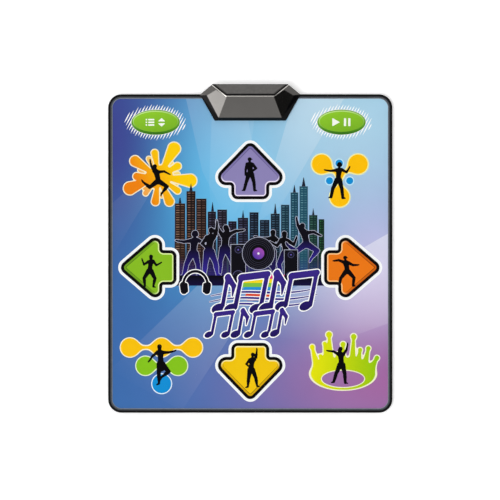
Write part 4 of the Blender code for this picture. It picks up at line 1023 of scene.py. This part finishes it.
def ribbon(points, width, ends=0.35):
    # a flat band that follows points, full in its middle and narrower at its ends
    left, right, last = [], [], len(points) - 1
    for k, (x, y) in enumerate(points):
        a, b = points[max(k - 1, 0)], points[min(k + 1, last)]
        length = math.hypot(b[0] - a[0], b[1] - a[1])
        half = width / 2 * (ends + (1 - ends) * math.sin(math.pi * (k + 0.5) / len(points)))
        dx, dy = -(b[1] - a[1]) / length * half, (b[0] - a[0]) / length * half
        left.append((x + dx, y + dy))
        right.append((x - dx, y - dy))
    return right + left[::-1]


crowd = [  # whose pose, mirrored or not, hips, height, colour at the feet, colour at the head
    ("rear_right_corner", 1, (-0.166, 0.000), 0.142, "#2c1f80", "#0d0a1c"),
    ("front_left_corner", -1, (0.062, 0.006), 0.138, "#241a5c", "#08070c"),
    ("front_right_corner", -1, (-0.074, 0.014), 0.150, "#2c1f80", "#0a080e"),
    ("down_arrow", 1, (-0.120, 0.006), 0.152, "#382a9c", "#0a080e"),
    ("left_arrow", -1, (0.104, 0.000), 0.142, "#2c1f80", "#08070c"),
    ("rear_left_corner", 1, (0.164, 0.026), 0.138, "#3a2b9e", "#0d0a16"),
]
crowdRim = {"colour": "#c3c6dc", "width": 0.0011, "fade": (-0.5, 0.1)}
melody = {
    # kind, place and size of each note
    "notes": [("single", (-0.074, -0.116), 0.106), ("pair", (-0.004, -0.112), 0.116),
              ("single", (0.068, -0.110), 0.118), ("pair", (0.142, -0.106), 0.112),
              ("pair", (-0.086, -0.205), 0.076), ("single", (-0.028, -0.202), 0.080),
              ("pair", (0.030, -0.204), 0.078), ("single", (0.086, -0.200), 0.078)],
    # the sweeping lines behind them: start, end, height and swing, then width and colour of each pass
    "lines": [(-0.116, 0.196, -0.128, 0.008), (-0.120, 0.196, -0.146, 0.009), (-0.116, 0.190, -0.164, 0.010)],
    "passes": ((0.0112, "#ffffff"), (0.0062, "#3a2886")), "rise": 0.030,
    "wave": (0.5, 5.4), "points": 48,  # where their swing starts and how far it turns, in radians
    # stripes of colour, each with its distance below the first
    "stripes": [("#d8267f", 0.0), ("#f4d61f", 0.012), ("#7fc241", 0.024), ("#2490d6", 0.036),
                ("#d9432b", 0.050), ("#e8742a", 0.062)],
    # the first stripe's ends and its top, how fast the ends draw in below it, its depth and its slant
    "stripeAt": (-0.040, 0.096, -0.062), "drawIn": (0.5, 0.7), "stripe": 0.0125, "slant": 0.005,
    "deep": "#1f1458", "purple": "#3a2886", "edge": 0.0030, "reach": (0.75, 0.8), "steps": 46,
}
ground = {"left": -0.222, "right": 0.216, "top": 0.070, "haze": (-0.02, 0.068), "kerb": (-0.094, -0.064)}


def centreArt():
    # sound meter, dancers, loudspeakers and a record, over lines of music
    left, right, (low, high) = ground["left"], ground["right"], ground["kerb"]
    dark = rectangle(left, levels["foot"], right, ground["top"])
    areas = [ink(dark, "#0d0a1e", cover=0.92, fade=0.0, span=ground["haze"])] + soundMeter()
    for name, flip, at, tall, foot, head in crowd:
        span = [at[1] + tall * end for end in crowdRim["fade"]]
        areas += rimmed(dancerField(poses[name], at, tall, flip), dancerBox(at, tall), tall / body["steps"],
                        crowdRim["colour"], crowdRim["width"], foot, to=head, span=span)
    areas += loudspeakers() + recordDiscs()
    areas.append(ink(rectangle(left, low, right, high), "#140e3a", "#07060b"))
    (first, last, top), depth, slant = melody["stripeAt"], melody["stripe"], melody["slant"]
    for colour, drop in melody["stripes"]:
        x0, x1, y = first + drop * melody["drawIn"][0], last - drop * melody["drawIn"][1], top - drop
        areas.append(ink([(x0, y - depth), (x1, y - depth), (x1 + slant, y), (x0 + slant, y)], colour))
    (start, turn), points = melody["wave"], melody["points"]
    for width, colour in melody["passes"]:
        for x0, x1, y, swing in melody["lines"]:
            line = [(x0 + (x1 - x0) * t, y + melody["rise"] * t + swing * math.sin(start + t * turn))
                    for t in [k / points for k in range(points + 1)]]
            areas.append(ink(ribbon(line, width), colour))
    areas += headphones()
    for kind, at, size in melody["notes"]:
        box = around(at, *[size * share for share in melody["reach"]])
        areas += rimmed(noteField(noteKinds[kind], at, size), box, size / melody["steps"], "#ffffff",
                        melody["edge"], melody["deep"], to=melody["purple"])
    return areas


bevel = {"surround": 0.004, "black": 0.0090, "light": 0.0036, "fade": (0.012, 0.030), "step": 0.004,
         # the lines along the slanted sides: how far in, from what height of the arrow, and how wide
         "haze": (0.0114, 0.024, 0.0050), "hazeCover": 0.55, "shadow": (0.0148, 0.020, 0.0025),
         "shadowCover": 0.9}


def arrowFace(pad):
    # black rim, coloured face, a lit line round the stem and a dark one along the slanted sides
    face, lit, dim, shadow = pad["colours"]

    def slanted(inset, low, width):
        # a ribbon over the outline's slanted sides, from the right base to the left
        points = [p for p in finer(pad["shape"](pad["size"], -inset), bevel["step"]) if p[1] > low]
        return placed(ribbon(points, width), pad["at"], pad["turns"])
    direction = placed([(0.0, 1.0)], (0.0, 0.0), pad["turns"])[0]
    middle = pad["at"][0] * direction[0] + pad["at"][1] * direction[1]
    span = [middle + shift for shift in bevel["fade"]]
    return [ink(padLoop(pad, bevel["surround"]), "#060407"),
            ink(padLoop(pad, -bevel["black"]), lit, dim, direction, span=span),
            ink(padLoop(pad, -bevel["black"] - bevel["light"]), face),
            ink(slanted(*bevel["haze"]), dim, cover=bevel["hazeCover"]),
            ink(slanted(*bevel["shadow"]), shadow, cover=bevel["shadowCover"])]


button = {
    "surround": 0.002, "edge": "#3f7d22", "sign": "#fafef2",
    # its ovals from below: rise, how much narrower and shallower, lower and upper colour, the way between
    # them, and the shares of its half depth where they start to change and stop, or None for end to end
    "ovals": [(0.0006, 0.0010, 0.0016, "#2f6618", "#63a626", (0.0, 1.0), (-1.0, -0.2)),
              (0.0030, 0.0034, 0.0052, "#5f9c22", "#c4e88a", (-0.18, 1.0), None),
              (0.0014, 0.0064, 0.0072, "#7ab327", "#8fca2f", (-0.2, 1.0), None)],
}


def buttonFace(pad):
    # green button with a pale upper edge, a dark lower one, and its plain white signs
    (x, y), (w, h) = pad["at"], pad["size"]["half"]
    areas = [ink(padLoop(pad, button["surround"]), button["edge"])]
    for rise, narrow, shallow, lower, upper, along, ends in button["ovals"]:
        span = [y + h * end for end in ends] if ends else None
        areas.append(ink(oval((x, y + rise), (w - narrow, h - shallow)), lower, upper, along, span=span))
    return areas + [ink(placed(loop, pad["at"]), button["sign"]) for loop in buttonSigns[pad["sign"]]]


def printMaterial():
    # the slow colours of the background, and the inks over them
    material, wires = newMaterial("printed vinyl")
    colour = rgb(sky["base"])
    for x, y, reachX, reachY, tint in sky["glows"]:
        glow = wires.use(softGlow, {"Centre X": x, "Centre Y": y, "Reach X": reachX, "Reach Y": reachY})
        colour = wires.mix(glow["Mask"], colour, rgb(tint))
    printed = wires.node("ShaderNodeAttribute", attribute_name="ink")
    colour = wires.mix(printed["Alpha"], colour, printed["Color"])
    grain = wires.grain(0.40, swing=0.16, clouds=9.0, pebbles=700.0)
    worn = wires.math("MULTIPLY_ADD", grain["Cloud"], 0.10, 0.95)
    worn = wires.node("ShaderNodeCombineColor", {"Red": worn, "Green": worn, "Blue": worn})["Color"]
    setShader(wires, wires.mix(1.0, colour, worn, "MULTIPLY"), grain, grain["Height"], 0.00006, specular=0.05)
    return material


printedVinyl = printMaterial()

coverSheet = {"inset": 0.0011, "windowGap": 0.00002, "flatSeam": 0.011, "raisedSeam": 0.002,
              "spacing": 0.0070, "border": 0.014, "surround": 0.0082,
              # how far from an edge the waves are in full, their size, and the mean lift in sizes
              "ease": 0.030, "wave": 0.00045, "lift": 1.2,
              # slow waves: share, radians a metre along x and y, start in radians
              "waves": [(1.0, 23, 9, 0.6), (1.0, -13, 27, 2.1), (0.6, 51, -33, 0.0), (0.5, 37, 61, 1.0)]}
boxFoot = [(-0.104, 0.388), (0.104, 0.388), (0.147, 0.464), (0.110, 0.494), (-0.110, 0.494), (-0.147, 0.464)]
underBox = {"front": 0.385, "half": 0.15}


def coverTop(x, y):
    # flat where something presses on it, with slow waves between
    calm = np.minimum(mat["width"] / 2 - np.abs(x), mat["length"] / 2 - np.abs(y)) - coverSheet["border"]
    calm = np.minimum(calm, distanceTo(boxFoot, x, y))
    for name, pad in pads.items():
        seam = coverSheet["flatSeam" if name in cornerPads else "raisedSeam"]
        calm = np.minimum(calm, distanceTo(padLoop(pad), x, y) - seam)
    wave = sum(share * np.sin(a * x + b * y + start) for share, a, b, start in coverSheet["waves"])
    lift = smoothStep(calm / coverSheet["ease"]) * coverSheet["wave"] * (coverSheet["lift"] + wave / 2)
    hidden = (y > underBox["front"]) & (np.abs(x) < underBox["half"])
    return layers["coverTop"] + np.where(hidden, 0.0, np.clip(lift, 0, None))


def makeCover():
    art = lightShafts() + buttonHatch(pads["select"]) + buttonHatch(pads["start"]) + cornerArt() + centreArt()
    art += [ink(padLoop(pad, coverSheet["surround"]), "#fbfdfd") for pad in arrowPads]
    art += [padDancer(name) for name in cornerPads]
    windows = [padLoop(pad, coverSheet["windowGap"]) for pad in pads.values()]
    inset = coverSheet["inset"]
    outline = matOutline(inset)
    piece = printedSheet("printed_top_cover", outline, windows, art, coverSheet["spacing"], coverTop)
    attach(piece, "mat")
    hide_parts("top_cover")


padForm = {"raised": 0.0015, "flat": 0.0005, "rounding": 0.0012, "crown": 0.0007, "crownReach": 0.020,
           "grooveAt": 0.0080, "groove": 0.00035, "grooveWidth": 0.0009, "spacing": 0.0045, "swell": 0.030,
           "flatSeam": 0.007,
           # loops that shape a raised pad: shares of its rounding, and distances from its groove
           "edgeCreases": (0.12, 0.4, 1.0), "grooveCreases": (-0.0012, 0.0, 0.0012)}


def makePad(name):
    pad, rounding, grooveAt = pads[name], padForm["rounding"], padForm["grooveAt"]
    outline = padLoop(pad)

    def flatTop(x, y):
        swell = smoothStep((distanceTo(outline, x, y) - padForm["flatSeam"]) / padForm["swell"])
        return layers["coverTop"] + padForm["flat"] * swell

    def raisedTop(x, y):
        # a rolled edge, a pressed groove and a slight crown
        away = distanceTo(outline, x, y)
        edge = np.clip(1 - away / rounding, 0, 1)
        height = layers["coverTop"] + padForm["raised"] - rounding * (1 - np.sqrt(1 - edge * edge))
        height += padForm["crown"] * (1 - np.exp(-away / padForm["crownReach"]))
        return height - padForm["groove"] * np.exp(-((away - grooveAt) / padForm["grooveWidth"]) ** 2)
    if name in cornerPads:
        art, top, insets = lightShafts() + cornerArt(), flatTop, []
    else:
        art, top = arrowFace(pad) if "colours" in pad else buttonFace(pad), raisedTop
        insets = [rounding * share for share in padForm["edgeCreases"]]
        insets += [grooveAt + shift for shift in padForm["grooveCreases"]]
    if name in poses:
        art.append(padDancer(name))
    creases = [padLoop(pad, -inset) for inset in insets]
    piece = printedSheet(f"{name}_printed_pad", outline, [], art, padForm["spacing"], top, creases)
    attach(piece, name)
    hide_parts(f"{name}_pad")


makeCover()
for padName in pads:
    makePad(padName)
print("pads done")


def wovenMaterial(name, dark, light, roughness, specular):
    material, wires = newMaterial(name)
    weave = wires.use(wovenTape, {"Threads": 1900.0, "Dark": rgb(dark), "Light": rgb(light)})
    grain = wires.grain(roughness, swing=0.2, clouds=30.0)
    setShader(wires, weave["Color"], grain, weave["Height"], 0.00008, specular)
    return material


binding = {"width": 0.013, "black": 0.0066, "rim": 0.0016, "thickness": 0.0008, "tuckX": 0.1342,
           "insideTop": 0.0110, "rimSteps": 8,
           # name, dark, light, roughness and specular of its black, its grey, partly a painted sheen on its
           # inner slope, and its edge, a painted highlight line
           "tapes": [("black binding", "#020203", "#0d0e11", 0.50, 0.12),
                     ("grey binding", "#33383f", "#5a626c", 0.38, 0.35),
                     ("binding selvedge", "#7c838b", "#a9b0b8", 0.38, 0.35)]}


def bindingSection():
    # the folded tape's section: distance in from the edge, height, and which of the tapes
    top, r, width = layers["tapeTop"], binding["rim"], binding["width"]
    black, thick, inside, steps = [binding[key] for key in ("black", "thickness", "insideTop", "rimSteps")]
    section = [(width, 0.0, 0), (0.0120, 0.0, 0), (0.0114, 0.00022, 0), (0.0100, 0.00022, 0),
               (0.0094, 0.0, 0), (0.0070, 0.0, 0)]
    for centre, first in ((r, 270.0), (top - r, 180.0)):
        for step in range(steps + 1):
            angle = math.radians(first - 90.0 * step / steps)
            section.append((r + r * math.cos(angle), centre + r * math.sin(angle), 0))
    section += [(inset, top + lift, zone) for inset, lift, zone in (
        (0.0030, 0.00012, 0), (0.0048, 0.00016, 0), (black - 0.0005, 0.0001, 0), (black, -0.00016, 0),
        (black + 0.0005, 0.00006, 1), (0.0090, 0.00016, 1), (0.0100, 0.0001, 1), (0.0107, -0.00006, 1),
        (0.0114, 0.0001, 1), (0.0118, 0.0001, 2), (0.0126, -0.0001, 2), (width, -0.0004, 2))]
    return section + [(width, inside, 1), (thick, inside, 0), (thick, thick, 0), (width, thick, 0)]


def bindingRoute(inset, overlap=0.0):
    # along the mat's edge, with both ends under the control box
    rear, end = mat["length"] / 2 - inset, binding["tuckX"] + overlap
    return [(-end, rear)] + matOutline(inset) + [(end, rear)]


def makeBinding():
    section = bindingSection()
    routes = [[(*point, height) for point in bindingRoute(inset)] for inset, height, _ in section]
    rings = [list(ring) for ring in zip(*routes)]
    zones = [zone for _, _, zone in section] * (len(rings) - 1) + [0, 0]
    tapes = [wovenMaterial(*tape) for tape in binding["tapes"]]
    piece = newPiece("binding_tape", *skinned(rings), tapes, zones=zones, sharp=True)
    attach(piece, "mat")
    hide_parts("edge_binding")


makeBinding()
print("binding done")

stitch = {"long": 0.0033, "gap": 0.0012, "thick": 0.00055, "proud": 0.00016, "inset": 0.0107,
          "under": 0.00028, "overlap": 0.004, "corners": 6,
          # its rings: how far along, and their share of its thickness
          "rings": ((-0.5, 0.25), (-0.36, 1.0), (0.36, 1.0), (0.5, 0.25))}


def stitchAt(x, y, height, along):
    # a capsule that lies along a direction
    rings = []
    for forward, share in stitch["rings"]:
        ring = []
        for side, up in disc((0.0, 0.0), share * stitch["thick"] / 2, stitch["corners"]):
            ring.append((x + along[0] * forward * stitch["long"] - along[1] * side,
                         y + along[1] * forward * stitch["long"] + along[0] * side, height + up))
        rings.append(ring)
    return skinned(rings)


def stitchRow(height):
    # stitches one after another along the binding's route
    route = bindingRoute(stitch["inset"], stitch["overlap"])
    parts, due, walked = [], 0.0, 0.0
    for (x, y), (endX, endY) in zip(route, route[1:]):
        length = math.hypot(endX - x, endY - y)
        while length > 0 and due <= walked + length:
            along, reach = ((endX - x) / length, (endY - y) / length), due - walked
            parts.append(stitchAt(x + along[0] * reach, y + along[1] * reach, height, along))
            due += stitch["long"] + stitch["gap"]
        walked += length
    return parts


def makeStitches():
    parts = stitchRow(layers["tapeTop"] + stitch["proud"]) + stitchRow(stitch["under"])
    thread = grained("waxed thread", "#8b929a", "#6f757d", 0.55, 3500.0, 0.00006, swing=0.1, sheen=0.2)
    piece = newPiece("binding_stitches", *joined(parts), [thread])
    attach(piece, "mat")


makeStitches()
print("stitches done")

baseCloth = {"inset": 0.0011, "top": 0.0016, "rimInset": 0.0133, "rimUnder": 0.0011, "under": 0.0005,
             "bay": [(0.1476, 0.4639), (0.1044, 0.3874), (-0.1044, 0.3874), (-0.1476, 0.4639)]}
grip = {"pitch": 0.021, "radius": 0.0034, "crown": 0.0005, "margin": 0.024, "besideBay": 0.16,
        "frontOfBay": 0.6, "sink": 0.0001, "corners": 10,
        # a dome's rings from the floor up: shares of its radius and of its crown
        "rings": ((0.34, 0.0), (0.72, 0.14), (0.96, 0.55))}


def clothOutline(inset):
    # the mat's outline with the control box's bay cut out of its rear edge
    rear = mat["length"] / 2 - inset
    (outerX, outerY), (innerX, innerY) = baseCloth["bay"][:2]
    x = innerX + (outerX - innerX) / (outerY - innerY) * (rear - innerY)
    return matOutline(inset) + [(x, rear), (innerX, innerY), (-innerX, innerY), (-x, rear)]


def insideOf(loop, x, y):
    crossed = [x < x0 + (x1 - x0) * (y - y0) / (y1 - y0)
               for (x0, y0), (x1, y1) in sides(loop) if (y0 > y) != (y1 > y)]
    return sum(crossed) % 2 == 1


def flatFaces(loops, height, facingUp):
    # fills between an outer loop and the loops inside it, at one height
    vertices = [(x, y, height) for loop in loops for x, y in loop]
    return vertices, [face if facingUp else face[::-1] for face in fill(loops, snap["cloth"])]


def wall(loop, low, high):
    # an upright strip that faces outwards along an anticlockwise loop
    count = len(loop)
    vertices = [(x, y, z) for z in (low, high) for x, y in loop]
    return vertices, [(k, (k + 1) % count, count + (k + 1) % count, count + k) for k in range(count)]


def gripDot(at):
    # a low rubber dome that stands on the floor and sinks a little into the cloth
    rings = [(share, grip["crown"] * up) for share, up in grip["rings"]]
    rings.append((1.0, baseCloth["under"] + grip["sink"]))
    return skinned([[(x, y, z) for x, y in disc(at, grip["radius"] * share, grip["corners"])]
                    for share, z in rings])


def clothMaterial():
    # black woven cloth, faintly ribbed, with a dusty bloom
    material, wires = newMaterial("non-slip cloth")
    weave = wires.use(wovenTape, {"Threads": 2600.0, "Dark": rgb("#08080a"), "Light": rgb("#26272b")})
    bloom = wires.math("MULTIPLY", wires.noise(7.0, 4.0), 0.30)
    colour = wires.mix(bloom, weave["Color"], rgb("#3a3b40"))
    grain = wires.grain(0.88, swing=0.12, clouds=18.0)
    setShader(wires, colour, grain, weave["Height"], 0.00015, sheen=0.15)
    return material


def makeBaseCloth():
    outer, inner = clothOutline(baseCloth["inset"]), clothOutline(baseCloth["rimInset"])
    top, under, rimUnder = baseCloth["top"], baseCloth["under"], baseCloth["rimUnder"]
    parts = [flatFaces([outer], top, True), wall(outer, rimUnder, top),
             flatFaces([outer, inner], rimUnder, False), wall(inner, under, rimUnder),
             flatFaces([inner], under, False)]
    cloth = newPiece("grip_base_cloth", *joined(parts), [clothMaterial()], smooth=False)
    x, y = mat["width"] / 2 - grip["margin"], mat["length"] / 2 - grip["margin"]
    field = clothOutline(grip["margin"])
    bayFront = baseCloth["bay"][1][1] - grip["pitch"] * grip["frontOfBay"]
    dots = [gripDot(at) for at in staggered((-x, -y), (x, y), grip["pitch"])
            if insideOf(field, *at) and not (abs(at[0]) < grip["besideBay"] and at[1] > bayFront)]
    rubber = grained("grip rubber", "#2b2d31", "#1f2124", 0.7, 1800.0, 0.00004, swing=0.15, clouds=12.0)
    grips = newPiece("grip_dots", *joined(dots), [rubber])
    for piece in (cloth, grips):
        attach(piece, "mat")
    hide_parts("base_cloth")
    print("base cloth done:", len(dots), "grip dots")


studio = {
    "centre": (-0.0007, 0.0102), "height": 10.961, "lens": 270.0, "sensor": 36.0, "air": 0.90,
    "darkest": 0.01, "floor": 5.0, "floorDrop": 0.0004,
    "paperGlow": 0.30,  # a lit table, which softens the contact shadow
    # soft light and dark sheets round the mat: azimuth and elevation in degrees, spread, strength
    "sheets": [(215, 52, 0.030, 4.4), (-90, 60, 0.040, 0.30), (90, 57, 0.030, -0.16),
               (-34, 52, 0.055, -2.10), (0, 90, 0.040, -0.50), (180, 47, 0.020, -0.25),
               (8, 46, 0.020, 0.40)],
    "softbox": {"at": (-1.6, 1.4, 2.6), "side": 1.4, "power": 4},
}


def makeFloor():
    reach = studio["floor"]
    paper = grained("floor paper", "#ffffff", "#fdfdfd", 0.9, 40.0, 0.00002, swing=0.02, specular=0.1)
    shader = paper.node_tree.nodes["Principled BSDF"]
    shader.inputs["Emission Color"].default_value = (1.0, 1.0, 1.0, 1.0)
    shader.inputs["Emission Strength"].default_value = studio["paperGlow"]
    vertices = [(x, y, -studio["floorDrop"]) for x, y in rectangle(-reach, -reach, reach, reach)]
    floor = newPiece("studio_floor", vertices, [(0, 1, 2, 3)], [paper], smooth=False)


makeFloor()
makeBaseCloth()


def tracedMaterial(name, colour, shade, trace, scale):
    # a sheet or board with printed conductors over its own colour
    material, wires = newMaterial(name)
    grain = wires.grain(0.35, swing=0.08, clouds=12.0, pebbles=800.0)
    mask = wires.use(printedTraces, {"Scale": scale})["Mask"]
    plain = wires.mix(grain["Cloud"], rgb(colour), rgb(shade))
    setShader(wires, wires.mix(mask, plain, rgb(trace)), grain, mask, 0.00003)
    return material


controlBox = {"lacquer": "#656361", "shade": "#5e5c5a", "black": "#050507", "rim": "#e4e0da",
              "worn": "#8f8d8b", "roughness": 0.22, "skirtTop": 0.0237, "shoulderY": 0.4622,
              "ridgeHalf": 0.069, "ridgeRear": 0.461, "panelLean": 1.2424,
              # how far up a face looks where it counts as level, and where it is still a wall
              "level": 0.5, "steep": 0.35,
              # how far outside the ridge, sideways and to the front, the black line of painted groove shade
              # starts, the bright line of painted highlight, in the rim colour, starts, and the bright line
              # ends
              "paintedPanelLines": [(-0.0042, -0.0036), (0.0036, 0.0013), (0.0070, 0.0042)]}


def boxShellMaterial():
    # grey lacquer above, black on the skirt and the walls, black as painted shade of the groove round the
    # panel, and a bright painted highlight line outside that
    material, wires = newMaterial("control box lacquer")
    point = wires.axes()
    facing = wires.axes(wires.node("ShaderNodeNewGeometry")["True Normal"])["Z"]
    x, y = wires.math("ABSOLUTE", point["X"]), point["Y"]
    facingUp = wires.math("GREATER_THAN", facing, controlBox["level"])
    lean, rear = controlBox["panelLean"], controlBox["ridgeRear"]
    half = wires.math("MULTIPLY_ADD", y, lean, controlBox["ridgeHalf"] - lean * rear)
    within = []
    for side, front in controlBox["paintedPanelLines"]:
        # the panel's outline, grown sideways and to the front
        across = wires.math("LESS_THAN", x, wires.math("ADD", half, side))
        behind = wires.math("GREATER_THAN", y, rear - front)
        within.append(wires.math("MULTIPLY", across, behind))
    # the groove mask paints shade on the level land round the panel, and the rim mask paints a highlight just
    # outside it
    groove, rim = [wires.math("MULTIPLY", wires.math("SUBTRACT", outer, inner), facingUp)
                   for inner, outer in zip(within, within[1:])]
    skirt = wires.math("MULTIPLY", wires.math("LESS_THAN", point["Z"], controlBox["skirtTop"]),
                       wires.math("LESS_THAN", y, controlBox["shoulderY"]))
    walls = wires.math("LESS_THAN", facing, controlBox["steep"])
    black = wires.math("MAXIMUM", wires.math("MAXIMUM", skirt, walls), groove)
    grain = wires.grain(controlBox["roughness"], swing=0.10, clouds=14.0, pebbles=2600.0)
    lacquer = wires.mix(grain["Cloud"], rgb(controlBox["lacquer"]), rgb(controlBox["shade"]))
    worn = {"Color": lacquer, "Worn Color": rgb(controlBox["worn"]), "Amount": 0.5}
    worn = wires.use(rubbedEdges, worn)["Color"]
    colour = wires.mix(rim, wires.mix(black, worn, rgb(controlBox["black"])), rgb(controlBox["rim"]))
    metal = wires.math("SUBTRACT", 1.0, black)
    setShader(wires, colour, grain, grain["Height"], 0.00001, specular=0.12, metallic=metal)
    return material


# each finish and the nodes that have it: colour, shade, roughness, scale of the pebbles, depth of the bumps
dress = [
    (grained("box plastic", "#0b0b0e", "#07070a", 0.32, 2600.0, 0.00001, swing=0.10, specular=0.16),
     ["box_bottom_shell"]),
    (grained("white foam", "#b9bcc2", "#a6aab2", 0.95, 420.0, 0.0003), ["foam_core", "spacer_foam"]),
    (grained("printed carbon", "#17171a", "#0e0e10", 0.7, 1500.0, 0.00002),
     [f"{name}_contact" for name in pads]),
    (grained("chip resin", "#141416", "#1c1c1f", 0.5, 3000.0, 0.00002), ["controller_chip"]),
    (grained("crystal can", "#b9bbbd", "#9fa2a6", 0.25, 1500.0, 0.00001, metallic=1.0), ["clock_crystal"]),
    (grained("capacitor sleeve", "#1d2f5c", "#182748", 0.3, 1500.0, 0.00001), ["capacitor"]),
    (grained("connector nylon", "#d9d4c2", "#c9c3b0", 0.45, 1500.0, 0.00002),
     ["lower_film_connector", "upper_film_connector"]),
    (grained("socket plastic", "#0f0f11", "#17171a", 0.4, 1500.0, 0.00002), ["lead_socket"]),
    (grained("screw steel", "#a9abae", "#8f9296", 0.28, 1200.0, 0.00001, metallic=1.0),
     [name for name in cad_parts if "screw" in name]),
    (tracedMaterial("circuit film", "#d8d6cc", "#c9c6bb", "#8f9196", 9.0),
     ["lower_circuit_film", "upper_circuit_film"]),
    (tracedMaterial("board laminate", "#0f5a34", "#0b4a2b", "#2f8f56", 110.0), ["circuit_board"]),
    (boxShellMaterial(), ["box_top_shell", "box_rear_panel"]),
]
for finish, names in dress:
    for name in names:
        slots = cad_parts[name].data.materials
        for k in range(len(slots)):
            slots[k] = finish
print("nodes dressed")


def makeSoftbox(at, side, power):
    light = bpy.data.lights.new("rear left softbox", "AREA")
    light.shape, light.size, light.size_y, light.energy = "RECTANGLE", side, side, power
    lamp = inScene(light.name, light)
    lamp.location = at
    lamp.rotation_euler = Vector(at).to_track_quat("Z", "Y").to_euler()
    lamp.visible_camera = False
    lamp.visible_glossy = False  # lights the mat without a glint on the box's rear sides


def makeAir():
    # the studio's light: even air, with bright and dark sheets in some directions
    world = bpy.data.worlds.new("studio air")
    bpy.context.scene.world = world
    world.use_nodes = True
    wires = Wires(world.node_tree)
    towards, total = wires.node("ShaderNodeTexCoord")["Generated"], studio["air"]
    for azimuth, elevation, spread, strength in studio["sheets"]:
        a, e = math.radians(azimuth), math.radians(elevation)
        middle = (math.cos(a) * math.cos(e), math.sin(a) * math.cos(e), math.sin(e))
        facing = wires.node("ShaderNodeVectorMath", {0: towards, 1: middle}, operation="DOT_PRODUCT")["Value"]
        near = wires.math("DIVIDE", wires.math("SUBTRACT", facing, 1.0), spread)
        total = wires.math("MULTIPLY_ADD", wires.math("EXPONENT", near), strength, total)
    background = world.node_tree.nodes["Background"]
    wires.feed(background.inputs["Color"], (1.0, 1.0, 1.0))
    wires.feed(background.inputs["Strength"], wires.math("MAXIMUM", total, studio["darkest"]))


makeAir()
makeSoftbox(**studio["softbox"])
bpy.context.scene.view_settings.view_transform = "Standard"

camera = bpy.data.cameras.new("copy stand")
camera.lens = studio["lens"]
camera.sensor_width = studio["sensor"]
cameraObject = inScene("copy stand", camera)
cameraObject.location = (*studio["centre"], studio["height"])
bpy.context.scene.camera = cameraObject
print("studio ready")
